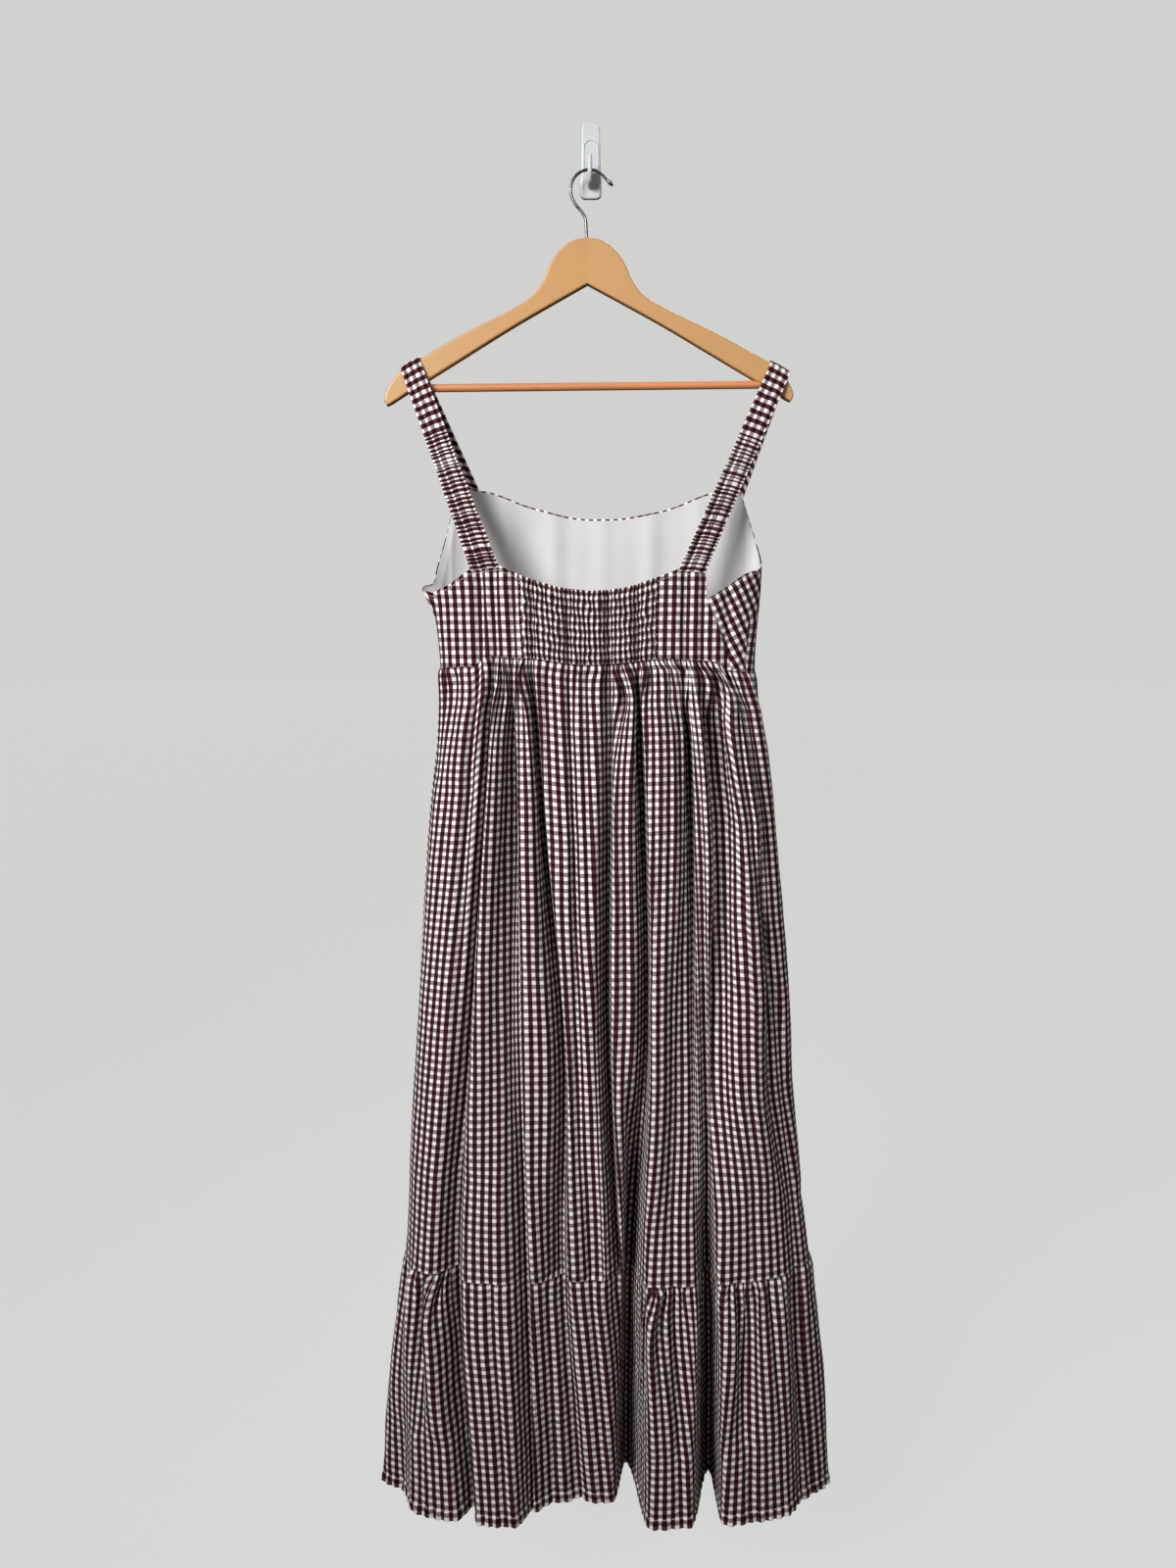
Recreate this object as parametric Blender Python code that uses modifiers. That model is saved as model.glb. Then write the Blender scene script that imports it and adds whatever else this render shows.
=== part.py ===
"""A sleeveless gingham maxi dress, hung by its straps on a wooden hanger from a wall hook.

Metres, +Z up, +X to the right, +Y into the wall. The origin is the middle of the wall hook's flat
back face, on the wall. The dress hangs with its shirred back to the room and its front to the wall.

A place round the body is one number: 0 is the left side seam, 0.5 the middle of the back, 1 the
right side, 1.5 the middle of the front, and 2 the left side seam again.
"""
import math

import bmesh
import bpy
import numpy as np

COLLECTION = "maxi_dress_on_hanger"
CUTTERS = "cutters"

CLOTH = 0.0016
LINING = 0.0010
SEAM = 0.0003
TOUCH = 0.0003

TIER_SEAM = -1.200
HEM = -1.465
LINING_DROP = 0.003

# The body's section is a rounded oval: 2 would be an ellipse, larger is boxier.
ROUNDNESS = 2.6

# height, left side x, right side x, side seam y, back y, front y
BODY = (
    (-0.340, -0.168, 0.182, -0.044, -0.080, -0.011),
    (-0.440, -0.172, 0.184, -0.048, -0.084, -0.011),
    (-0.545, -0.163, 0.178, -0.051, -0.090, -0.012),
    (-0.640, -0.168, 0.187, -0.056, -0.104, -0.012),
    (-0.720, -0.176, 0.195, -0.059, -0.115, -0.012),
    (-0.880, -0.188, 0.214, -0.065, -0.132, -0.012),
    (-1.060, -0.201, 0.227, -0.070, -0.146, -0.012),
    (-1.200, -0.209, 0.247, -0.074, -0.155, -0.012),
    (-1.330, -0.228, 0.264, -0.082, -0.166, -0.012),
    (-1.465, -0.238, 0.272, -0.090, -0.176, -0.012),
)

# Folds are troughs pressed into the body: where each lies across, how deep and how wide it is.
FOLD_HEIGHTS = (-0.540, -0.700, -0.950, -1.200, -1.465)
# x at the five heights, depth at the five heights, width at waist and hem
BACK_PLEATS = (
    ((-0.097, -0.105, -0.123, -0.137, -0.124), (0.004, 0.016, 0.024, 0.026, 0.032), (0.010, 0.017)),
    ((-0.081, -0.077, -0.074, -0.066, -0.064), (0.003, 0.014, 0.023, 0.022, 0.028), (0.009, 0.014)),
    ((-0.060, -0.050, -0.031, -0.027, -0.010), (0.004, 0.014, 0.020, 0.016, 0.014), (0.010, 0.018)),
    ((0.026, 0.018, 0.017, 0.026, 0.022), (0.005, 0.026, 0.031, 0.030, 0.022), (0.012, 0.015)),
    ((0.048, 0.058, 0.057, 0.048, 0.045), (0.004, 0.013, 0.022, 0.062, 0.090), (0.011, 0.020)),
    ((0.103, 0.113, 0.121, 0.127, 0.132), (0.004, 0.018, 0.026, 0.056, 0.098), (0.011, 0.019)),
)
BACK_SWELLS = (
    ((-0.120, -0.131, -0.149, -0.160, -0.165), (0.002, 0.008, 0.005, 0.000, 0.000), (0.009, 0.012)),
    ((-0.030, -0.020, -0.008, 0.000, 0.000), (0.003, 0.010, 0.004, 0.000, 0.000), (0.009, 0.012)),
    ((0.150, 0.185, 0.202, 0.226, 0.238), (0.002, 0.006, 0.008, 0.011, 0.024), (0.009, 0.014)),
    ((0.000, 0.000, 0.000, -0.008, -0.012), (0.000, 0.003, 0.010, 0.030, 0.046), (0.060, 0.056)),
    ((-0.160, -0.172, -0.190, -0.200, -0.222), (0.000, 0.000, 0.000, 0.010, 0.042), (0.010, 0.012)),
)
FRONT_PLEATS = (
    ((0.118, 0.132, 0.150, 0.160, 0.170), (0.002, 0.008, 0.012, 0.014, 0.022), (0.012, 0.024)),
    ((0.066, 0.076, 0.086, 0.094, 0.100), (0.002, 0.007, 0.011, 0.013, 0.020), (0.012, 0.022)),
    ((0.014, 0.022, 0.026, 0.024, 0.030), (0.002, 0.008, 0.013, 0.015, 0.024), (0.012, 0.024)),
    ((-0.040, -0.038, -0.044, -0.048, -0.046), (0.002, 0.007, 0.011, 0.013, 0.020), (0.012, 0.022)),
    ((-0.094, -0.100, -0.112, -0.118, -0.124), (0.002, 0.008, 0.012, 0.015, 0.022), (0.012, 0.024)),
)
FRONT_SWELLS = (
    ((-0.132, -0.146, -0.160, -0.170, -0.186), (0.001, 0.004, 0.006, 0.008, 0.012), (0.010, 0.016)),
    ((0.150, 0.168, 0.188, 0.204, 0.222), (0.001, 0.004, 0.006, 0.008, 0.012), (0.010, 0.016)),
)

# place round the body, height of the seam or edge there
WAIST_SEAM = ((0.0, -0.5425), (0.28, -0.5320), (0.49, -0.5370), (0.62, -0.5330), (0.86, -0.5450),
              (1.5, -0.5440), (2.0, -0.5425))
BACK_TOP = ((0.0, -0.467), (0.18, -0.452), (0.2585, -0.4365), (0.3355, -0.4325), (0.382, -0.443),
            (0.452, -0.4555), (0.496, -0.4597), (0.530, -0.4565), (0.586, -0.445), (0.628, -0.4365),
            (0.6905, -0.4385))
FRONT_TOP = ((0.69, -0.470), (0.81, -0.444), (1.0, -0.427), (1.077, -0.405), (1.134, -0.375),
             (1.159, -0.358), (1.248, -0.350), (1.415, -0.372), (1.504, -0.379), (1.589, -0.368),
             (1.731, -0.349), (1.819, -0.357), (1.856, -0.395), (1.923, -0.435), (2.0, -0.466))

# The right side seam runs on the room's side of the body: height, x.
RIGHT_SEAM = ((-0.438, 0.121), (-0.470, 0.1226), (-0.545, 0.151), (-0.580, 0.166), (-0.700, 0.186),
              (-0.880, 0.1935), (-1.000, 0.203), (-1.170, 0.2255), (-1.200, 0.229), (-1.465, 0.252))
RIGHT_SEAM_TOP = -0.470
RIGHT_SEAM_WAIST = -0.543

# Where the straps and the shirred panel meet the bodice's top edge, as places round the body.
STRAP_BACK = {"left": (0.2585, 0.3355), "right": (0.628, 0.6905)}
STRAP_FRONT = {"left": (1.819, 1.731), "right": (1.248, 1.159)}
SHIRRED = (0.382, 0.586)
BACK_TOP_LEVEL = -0.445
FRONT_TOP_LEVEL = -0.400
WAIST_LEVEL = -0.538

SKIRT_ROWS = (0.0, 0.020, 0.060, 0.130, 0.230, 0.370, 0.530, 0.700, 0.860, 1.0)
RUFFLE_ROWS = (0.0, 0.050, 0.140, 0.290, 0.500, 0.750, 1.0)
BODICE_ROWS = (0.0, 0.15, 0.30, 0.46, 0.64, 0.82, 1.0)

# Columns of cloth between one pleat and the next, from seam to seam.
BACK_COLUMNS = (15, 9, 9, 12, 9, 12, 12)
FRONT_COLUMNS = (9, 9, 9, 9, 9, 9)
GATHER_COLUMNS = 3
WAIST_GATHER = 0.0016
WAIST_GATHER_FADE = 0.045
TIER_GATHER = 0.0024
TIER_GATHER_FADE = 0.030

SHIRRED_COLUMNS = 60
SHIRRED_ROWS = 18
SHIRRED_PUFF = 0.0024
SHIRRED_LINE = 0.4
PLAIN_COLUMNS = 20
PLAIN_ROWS = 6

# The wooden hanger, measured from the top of its middle: outward, up.
HANGER_TOP = (-0.004, -0.020, -0.0855)
HANGER_TILT = math.radians(0.6)
WOOD = 0.012
WOOD_EDGE = 0.002
WOOD_JOINT = 0.0003
ARM_UPPER = ((WOOD_JOINT / 2.0, 0.0), (0.010, -0.0012), (0.020, -0.0050), (0.031, -0.0140), (0.040, -0.0260),
             (0.046, -0.0400), (0.053, -0.0515), (0.063, -0.0615), (0.077, -0.0700), (0.118, -0.0898),
             (0.146, -0.1035), (0.176, -0.1200), (0.199, -0.1325), (0.2115, -0.1445), (0.2190, -0.1570),
             (0.2215, -0.1665), (0.2185, -0.1715))
ARM_LOWER = ((0.2130, -0.1690), (0.1885, -0.1540), (0.170, -0.1433), (0.1295, -0.1195), (0.085, -0.0934),
             (WOOD_JOINT / 2.0, -0.0473))
BAR_HEIGHT = -0.153
BAR_RADIUS = 0.00425
BAR_HALF = 0.197

WIRE_RADIUS = 0.0016
# The wire hook's bend, from the wood up and round to its end: x, height
WIRE_PATH = ((-0.0045, -0.0848), (-0.0050, -0.0720), (-0.0060, -0.0640), (-0.0100, -0.0575),
             (-0.0155, -0.0515), (-0.0198, -0.0440), (-0.0214, -0.0365), (-0.0202, -0.0285),
             (-0.0160, -0.0215), (-0.0095, -0.0170), (-0.0022, -0.0153), (0.0050, -0.0163),
             (0.0115, -0.0200), (0.0175, -0.0258), (0.0237, -0.0316))
WIRE_STEPS = 2

PLATE_TOP = 0.0395
PLATE_BOTTOM = -0.0400
PLATE_WIDE_TOP = 0.0205
PLATE_WIDE_BOTTOM = 0.0230
PLATE_THICK = 0.0040
PLATE_ROUND = 0.0065
# The prong's side view: out from the wall, height
PRONG = ((0.0030, -0.0120), (0.0100, -0.0172), (0.0172, -0.0185), (0.0200, -0.0179), (0.0222, -0.0160),
         (0.0232, -0.0100), (0.0240, -0.0020), (0.0262, -0.0010), (0.0276, -0.0030), (0.0275, -0.0130),
         (0.0258, -0.0215), (0.0205, -0.0280), (0.0120, -0.0300), (0.0030, -0.0300))
PRONG_WIDE = 0.0046
PRONG_MIDDLE = -0.0010
ARCH_WIDE = 0.0150
ARCH_TOP = 0.0205
ARCH_BOTTOM = -0.0110
ARCH_PROUD = 0.0018

# Straps: x of the outer and inner edge on the hanger, for each side.
STRAP_ON_HANGER = {"left": (-0.2040, -0.1840), "right": (0.1930, 0.2140)}
STRAP_COLUMNS = 3
STRAP_RUCHES = 22
STRAP_RUCHED = 0.66
STRAP_RUCHE = 0.0014
STRAP_WRAP = 0.0073
STRAP_WRAP_ROUND = 0.0033
STRAP_BEHIND = 0.036
STRAP_SLOPE = 0.54

GINGHAM = (0.30, 0.19, 0.20, 1.0)
LINING_WHITE = (0.78, 0.77, 0.76, 1.0)
BEECH = (0.62, 0.37, 0.16, 1.0)
BAR_WOOD = (0.37, 0.17, 0.09, 1.0)
CHROME = (0.62, 0.62, 0.63, 1.0)
WHITE_PLASTIC = (0.80, 0.80, 0.82, 1.0)


def clear_scene():
    for item in list(bpy.data.objects):
        bpy.data.objects.remove(item, do_unlink=True)


def new_collection(name):
    collection = bpy.data.collections.new(name)
    bpy.context.scene.collection.children.link(collection)
    return collection


def new_material(name, colour, roughness, metallic=0.0):
    material = bpy.data.materials.new(name)
    material.use_nodes = True
    shader = material.node_tree.nodes["Principled BSDF"]
    shader.inputs["Base Color"].default_value = colour
    shader.inputs["Roughness"].default_value = roughness
    shader.inputs["Metallic"].default_value = metallic
    return material


def column(table, index):
    return np.array([row[index] for row in table])


def by_height(table, index, height):
    """A column of a table whose first column is the height, from high to low."""
    return np.interp(-np.asarray(height), -column(table, 0), column(table, index))


def eased(table, place):
    """Height of a seam at a place, level at each row of its table and smooth between them."""
    places = column(table, 0)
    heights = column(table, 1)
    place = np.asarray(place, dtype=float)
    last = np.clip(np.searchsorted(places, place, side="right") - 1, 0, len(places) - 2)
    part = np.clip((place - places[last]) / (places[last + 1] - places[last]), 0.0, 1.0)
    return heights[last] + (heights[last + 1] - heights[last]) * part * part * (3.0 - 2.0 * part)


def troughs(folds, x, height):
    """How far the folds press the cloth in at x."""
    heights = -np.array(FOLD_HEIGHTS)
    total = np.zeros(np.broadcast(x, height).shape)
    for across, deep, wide in folds:
        middle = np.interp(-height, heights, across)
        depth = np.interp(-height, heights, deep)
        width = np.interp(-height, (heights[0], heights[-1]), wide)
        total = total + depth * np.exp(-((x - middle) / width) ** 2)
    return total


def surface(place, height):
    """x and y of the middle of the cloth at a place round the body and a height."""
    place = np.mod(np.asarray(place, dtype=float), 2.0)
    height = np.asarray(height, dtype=float) + 0.0 * place
    left, right, side, back, front = (by_height(BODY, index, height) for index in range(1, 6))
    on_back = place <= 1.0
    angle = np.pi * np.where(on_back, place, 2.0 - place)
    power = 2.0 / ROUNDNESS
    reach = np.abs(np.sin(angle)) ** power
    across = -np.sign(np.cos(angle)) * np.abs(np.cos(angle)) ** power
    x = (left + right) / 2.0 + (right - left) / 2.0 * across
    y_back = side + reach * (back - side + troughs(BACK_PLEATS + BACK_SWELLS, x, height))
    y_front = side + reach * (front - side - troughs(FRONT_PLEATS + FRONT_SWELLS, x, height))
    return x, np.where(on_back, y_back, y_front)


def outward(place, height):
    """Level unit vector that points out of the body."""
    step = 0.0008
    x_ahead, y_ahead = surface(place + step, height)
    x_behind, y_behind = surface(place - step, height)
    along = np.stack([x_ahead - x_behind, y_ahead - y_behind])
    along = along / np.linalg.norm(along, axis=0)
    return along[1], -along[0]


def place_of(x, height):
    """The place on the back whose x is given."""
    left = by_height(BODY, 1, height)
    right = by_height(BODY, 2, height)
    across = np.clip((x - (left + right) / 2.0) / ((right - left) / 2.0), -1.0, 1.0)
    return np.arccos(-np.sign(across) * np.abs(across) ** (ROUNDNESS / 2.0)) / np.pi


def seam_place(height):
    """The right side seam's place at a height."""
    return float(place_of(by_height(RIGHT_SEAM, 1, height), height))


def shared_out(height, marks, counts):
    """Places that share the cloth out evenly between marks, clear of the seams at both ends."""
    fine = np.linspace(marks[0], marks[-1], 1600)
    x, y = surface(fine, height)
    length = np.concatenate([[0.0], np.cumsum(np.hypot(np.diff(x), np.diff(y)))])
    stops = np.interp(marks, fine, length)
    stops[0] += SEAM / 2.0
    stops[-1] -= SEAM / 2.0
    spots = [np.linspace(stops[i], stops[i + 1], counts[i], endpoint=False) for i in range(len(counts))]
    return np.interp(np.concatenate(spots + [stops[-1:]]), length, fine)


def panel(rows, marks_at, counts, top, bottom):
    """Places and heights of a panel's points, row by row from its top edge to its bottom edge."""
    places = []
    heights = []
    for part in rows:
        marks, level = marks_at(part)
        spots = shared_out(level, np.array(marks, dtype=float), counts)
        high = top(spots) - SEAM / 2.0
        low = bottom(spots) + SEAM / 2.0
        places.append(spots)
        heights.append(high + (low - high) * part)
    return np.array(places), np.array(heights)


def layer(places, heights, offset):
    """Points a distance out from the middle of the cloth."""
    x, y = surface(places, heights)
    out_x, out_y = outward(places, heights)
    return np.stack([x + out_x * offset, y + out_y * offset, heights], axis=-1)


def zip_edges(bm, first, second):
    """Faces between two rows of points that may differ in number."""
    last_first = len(first) - 1
    last_second = len(second) - 1
    if last_first == last_second:
        for i in range(last_first):
            bm.faces.new((first[i], first[i + 1], second[i + 1], second[i]))
        return
    first_along = along(first)
    second_along = along(second)
    i = 0
    j = 0
    while i < last_first or j < last_second:
        if j == last_second or (i < last_first and first_along[i + 1] <= second_along[j + 1]):
            bm.faces.new((first[i], first[i + 1], second[j]))
            i += 1
        else:
            bm.faces.new((first[i], second[j + 1], second[j]))
            j += 1


def along(verts):
    """How far along its row each point lies, from 0 to 1."""
    points = np.array([vert.co for vert in verts])
    length = np.concatenate([[0.0], np.cumsum(np.linalg.norm(np.diff(points, axis=0), axis=1))])
    return length / length[-1]


def wall(name, outer, inner, collection, material):
    """A closed wall of cloth between an outer and an inner grid, which may differ in density."""
    bm = bmesh.new()
    grids = []
    for points in (outer, inner):
        grid = [[bm.verts.new(point) for point in row] for row in points]
        for upper, lower in zip(grid, grid[1:]):
            for i in range(len(upper) - 1):
                bm.faces.new((upper[i], upper[i + 1], lower[i + 1], lower[i]))
        grids.append(grid)
    out_grid, in_grid = grids
    zip_edges(bm, out_grid[0], in_grid[0])
    zip_edges(bm, out_grid[-1], in_grid[-1])
    zip_edges(bm, [row[0] for row in out_grid], [row[0] for row in in_grid])
    zip_edges(bm, [row[-1] for row in out_grid], [row[-1] for row in in_grid])
    bmesh.ops.triangulate(bm, faces=bm.faces[:], quad_method="SHORT_EDGE")
    bmesh.ops.recalc_face_normals(bm, faces=bm.faces[:])
    mesh = bpy.data.meshes.new(name)
    bm.to_mesh(mesh)
    bm.free()
    mesh.shade_smooth()
    mesh.set_sharp_from_angle(angle=math.radians(70))
    return add_object(name, mesh, collection, material)


def add_object(name, data, collection, material):
    item = bpy.data.objects.new(name, data)
    data.materials.append(material)
    collection.objects.link(item)
    return item


def gathers(shape, drop, size, fade):
    """Small gathers across a panel, largest at its top seam and fading below it."""
    wave = np.cos(2.0 * np.pi * np.arange(shape[1]) / GATHER_COLUMNS)
    return size * np.exp(-drop / fade) * wave


def tier(name, rows, marks_at, counts, top, bottom, size, fade, collection, material):
    """One gathered panel of the skirt or of the ruffle."""
    places, heights = panel(rows, marks_at, counts, top, bottom)
    puff = gathers(places.shape, heights[0] - heights, size, fade)
    outer = layer(places, heights, puff + CLOTH / 2.0)
    inner = layer(places, heights, puff - CLOTH / 2.0)
    wall(name, outer, inner, collection, material)


def back_marks(high, low):
    """Side seam, pleats and side seam across the back, at a part of the way down a panel."""
    def marks_at(part):
        level = high + (low - high) * part
        pleats = [np.interp(-level, -np.array(FOLD_HEIGHTS), across) for across, _, _ in BACK_PLEATS]
        return [0.0] + [float(place_of(x, level)) for x in pleats] + [seam_place(level)], level
    return marks_at


def front_marks(high, low):
    """The same across the front, from the right side seam round to the left one."""
    def marks_at(part):
        level = high + (low - high) * part
        pleats = [np.interp(-level, -np.array(FOLD_HEIGHTS), across) for across, _, _ in FRONT_PLEATS]
        return [seam_place(level)] + [2.0 - float(place_of(x, level)) for x in pleats] + [2.0], level
    return marks_at


def level_edge(height):
    return lambda places: np.full(len(places), height)


def waist(places):
    return eased(WAIST_SEAM, places)


def back_top(places):
    return np.interp(places, column(BACK_TOP, 0), column(BACK_TOP, 1))


def front_top(places):
    return np.interp(places, column(FRONT_TOP, 0), column(FRONT_TOP, 1))


def make_skirt(collection, material):
    tier("skirt_back", SKIRT_ROWS, back_marks(WAIST_LEVEL, TIER_SEAM), BACK_COLUMNS,
         waist, level_edge(TIER_SEAM), WAIST_GATHER, WAIST_GATHER_FADE, collection, material)
    tier("skirt_front", SKIRT_ROWS, front_marks(WAIST_LEVEL, TIER_SEAM), FRONT_COLUMNS,
         waist, level_edge(TIER_SEAM), WAIST_GATHER, WAIST_GATHER_FADE, collection, material)


def make_ruffle(collection, material):
    hem = HEM - SEAM / 2.0
    tier("ruffle_back", RUFFLE_ROWS, back_marks(TIER_SEAM, HEM), BACK_COLUMNS,
         level_edge(TIER_SEAM), level_edge(hem), TIER_GATHER, TIER_GATHER_FADE, collection, material)
    tier("ruffle_front", RUFFLE_ROWS, front_marks(TIER_SEAM, HEM), FRONT_COLUMNS,
         level_edge(TIER_SEAM), level_edge(hem), TIER_GATHER, TIER_GATHER_FADE, collection, material)


def fixed_marks(marks, high, low):
    return lambda part: (marks, high + (low - high) * part)


def flat_wall(name, places, heights, collection, material):
    outer = layer(places, heights, CLOTH / 2.0)
    inner = layer(places, heights, -CLOTH / 2.0)
    wall(name, outer, inner, collection, material)


def make_back_bodice(collection, material):
    """The shirred middle and the two plain side backs."""
    high = BACK_TOP_LEVEL
    low = WAIST_LEVEL
    left_marks = (0.0,) + STRAP_BACK["left"] + SHIRRED[:1]
    places, heights = panel(BODICE_ROWS, fixed_marks(left_marks, high, low), (9, 3, 3), back_top, waist)
    flat_wall("bodice_back_left", places, heights, collection, material)

    strap_start, strap_end = STRAP_BACK["right"]
    strap_share = (strap_start - SHIRRED[1]) / (strap_end - SHIRRED[1])
    armhole_top = float(back_top(strap_end))

    def right_marks(part):
        seam = seam_place(armhole_top + (RIGHT_SEAM_WAIST - armhole_top) * part)
        strap = SHIRRED[1] + (seam - SHIRRED[1]) * strap_share
        return (SHIRRED[1], strap, seam), high + (low - high) * part

    places, heights = panel(BODICE_ROWS, right_marks, (4, 6), back_top, waist)
    flat_wall("bodice_back_right", places, heights, collection, material)

    rows = np.linspace(0.0, 1.0, SHIRRED_ROWS + 1)
    places, heights = panel(rows, fixed_marks(SHIRRED, high, low), (SHIRRED_COLUMNS,), back_top, waist)
    ridges = np.where(np.arange(SHIRRED_COLUMNS + 1) % 2, 1.0, SHIRRED_LINE)
    puff = np.outer(np.arange(len(rows)) % 2, ridges)
    puff[:, 0] = 0.0
    puff[:, -1] = 0.0
    outer = layer(places, heights, CLOTH / 2.0 + SHIRRED_PUFF * puff)
    plain_rows = np.linspace(0.0, 1.0, PLAIN_ROWS + 1)
    places, heights = panel(plain_rows, fixed_marks(SHIRRED, high, low), (PLAIN_COLUMNS,), back_top, waist)
    inner = layer(places, heights, -CLOTH / 2.0)
    wall("bodice_back_shirred", outer, inner, collection, material)


def make_front_bodice(collection, cloth, lining):
    """One front, which wraps past the right side, and the white lining that shows inside it."""
    straps = STRAP_FRONT["right"][::-1] + (1.504,) + STRAP_FRONT["left"][::-1]
    counts = (7, 5, 3, 6, 6, 3, 6)

    def marks_at(part):
        seam_height = RIGHT_SEAM_TOP + (RIGHT_SEAM_WAIST - RIGHT_SEAM_TOP) * part
        level = FRONT_TOP_LEVEL + (WAIST_LEVEL - FRONT_TOP_LEVEL) * part
        return (seam_place(seam_height), 1.0) + straps + (2.0,), level

    places, heights = panel(BODICE_ROWS, marks_at, counts, front_top, waist)
    flat_wall("bodice_front", places, heights, collection, cloth)
    middle = -(CLOTH + LINING) / 2.0 - TOUCH
    faces = []
    for offset in (middle + LINING / 2.0, middle - LINING / 2.0):
        points = layer(places, heights, offset)
        drop = LINING_DROP / np.maximum(points[0, :, 2] - points[1, :, 2], LINING_DROP)
        points[0] += (points[1] - points[0]) * drop[:, None]
        faces.append(points)
    wall("bodice_lining", faces[0], faces[1], collection, lining)


def arm_top(x):
    """World height of the tilted hanger's upper edge at x."""
    side = 1.0 if x > HANGER_TOP[0] else -1.0
    upper = np.array(ARM_UPPER)
    across = side * upper[:, 0] * math.cos(HANGER_TILT) - upper[:, 1] * math.sin(HANGER_TILT)
    height = side * upper[:, 0] * math.sin(HANGER_TILT) + upper[:, 1] * math.cos(HANGER_TILT)
    return HANGER_TOP[2] + np.interp(side * (x - HANGER_TOP[0]), side * across, height)


def curve_mesh(name, points, thick):
    """A flat outline, filled and given its thickness, as a closed mesh in the XZ plane."""
    data = bpy.data.curves.new(name, "CURVE")
    data.dimensions = "2D"
    data.fill_mode = "BOTH"
    data.extrude = thick / 2.0
    spline = data.splines.new("POLY")
    spline.points.add(len(points) - 1)
    for spot, (along, up) in zip(spline.points, points):
        spot.co = (along, up, 0.0, 1.0)
    spline.use_cyclic_u = True
    return mesh_of_curve(name, data)


def mesh_of_curve(name, data):
    item = bpy.data.objects.new(name, data)
    bpy.context.scene.collection.objects.link(item)
    graph = bpy.context.evaluated_depsgraph_get()
    mesh = bpy.data.meshes.new_from_object(item.evaluated_get(graph))
    bpy.data.objects.remove(item, do_unlink=True)
    bm = bmesh.new()
    bm.from_mesh(mesh)
    bmesh.ops.remove_doubles(bm, verts=bm.verts[:], dist=0.00001)
    bm.to_mesh(mesh)
    bm.free()
    return mesh


def soften(item, width, segments=2, angle=35.0):
    bevel = item.modifiers.new("soft edges", "BEVEL")
    bevel.width = width
    bevel.segments = segments
    bevel.limit_method = "ANGLE"
    bevel.angle_limit = math.radians(angle)
    return bevel


def cut(item, cutter, operation="DIFFERENCE"):
    boolean = item.modifiers.new("cut", "BOOLEAN")
    boolean.operation = operation
    boolean.object = cutter
    return boolean


def cylinder_along_x(name, radius, length, collection):
    bpy.ops.mesh.primitive_cylinder_add(vertices=20, radius=radius, depth=length,
                                        rotation=(0.0, math.pi / 2.0, 0.0))
    item = bpy.context.object
    item.name = name
    item.data.name = name
    for owner in list(item.users_collection):
        owner.objects.unlink(item)
    collection.objects.link(item)
    return item


def make_hanger(collection, cutters, wood, bar_wood):
    holder = bpy.data.objects.new("hanger_middle", None)
    holder.location = HANGER_TOP
    holder.rotation_euler = (0.0, -HANGER_TILT, 0.0)
    collection.objects.link(holder)
    bore = cylinder_along_x("bar_bore", BAR_RADIUS + TOUCH, 2.0 * (BAR_HALF + TOUCH), cutters)
    bore.location = (0.0, 0.0, BAR_HEIGHT)
    bore.parent = holder
    bore.hide_render = True
    bore.display_type = "WIRE"
    for name, side in (("hanger_arm_left", -1.0), ("hanger_arm_right", 1.0)):
        points = [(side * out, up) for out, up in ARM_UPPER + ARM_LOWER]
        mesh = curve_mesh(name, points, WOOD)
        arm = add_object(name, mesh, collection, wood)
        arm.rotation_euler = (math.pi / 2.0, 0.0, 0.0)
        arm.parent = holder
        soften(arm, WOOD_EDGE)
        cut(arm, bore)
    bar = cylinder_along_x("hanger_bar", BAR_RADIUS, 2.0 * BAR_HALF, collection)
    bar.location = (0.0, 0.0, BAR_HEIGHT)
    bar.parent = holder
    bar.data.materials.append(bar_wood)
    bar.data.shade_smooth()
    bar.data.set_sharp_from_angle(angle=math.radians(40))


def smooth_path(points, steps):
    """Points on a smooth curve through the given ones."""
    points = [np.array(point) for point in points]
    padded = [2 * points[0] - points[1]] + points + [2 * points[-1] - points[-2]]
    path = []
    for i in range(1, len(padded) - 2):
        before, start, end, after = padded[i - 1:i + 3]
        for step in range(steps):
            t = step / steps
            bend = 2 * before - 5 * start + 4 * end - after
            twist = 3 * start - before - 3 * end + after
            path.append(0.5 * (2 * start + (end - before) * t + bend * t ** 2 + twist * t ** 3))
    path.append(points[-1])
    return path


def make_wire_hook(collection, chrome):
    data = bpy.data.curves.new("hanger_hook", "CURVE")
    data.dimensions = "3D"
    data.bevel_depth = WIRE_RADIUS
    data.bevel_resolution = 2
    data.use_fill_caps = True
    path = smooth_path(WIRE_PATH, WIRE_STEPS)
    spline = data.splines.new("POLY")
    spline.points.add(len(path) - 1)
    for spot, (x, z) in zip(spline.points, path):
        spot.co = (x, HANGER_TOP[1], z, 1.0)
    add_object("hanger_hook", data, collection, chrome)


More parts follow.
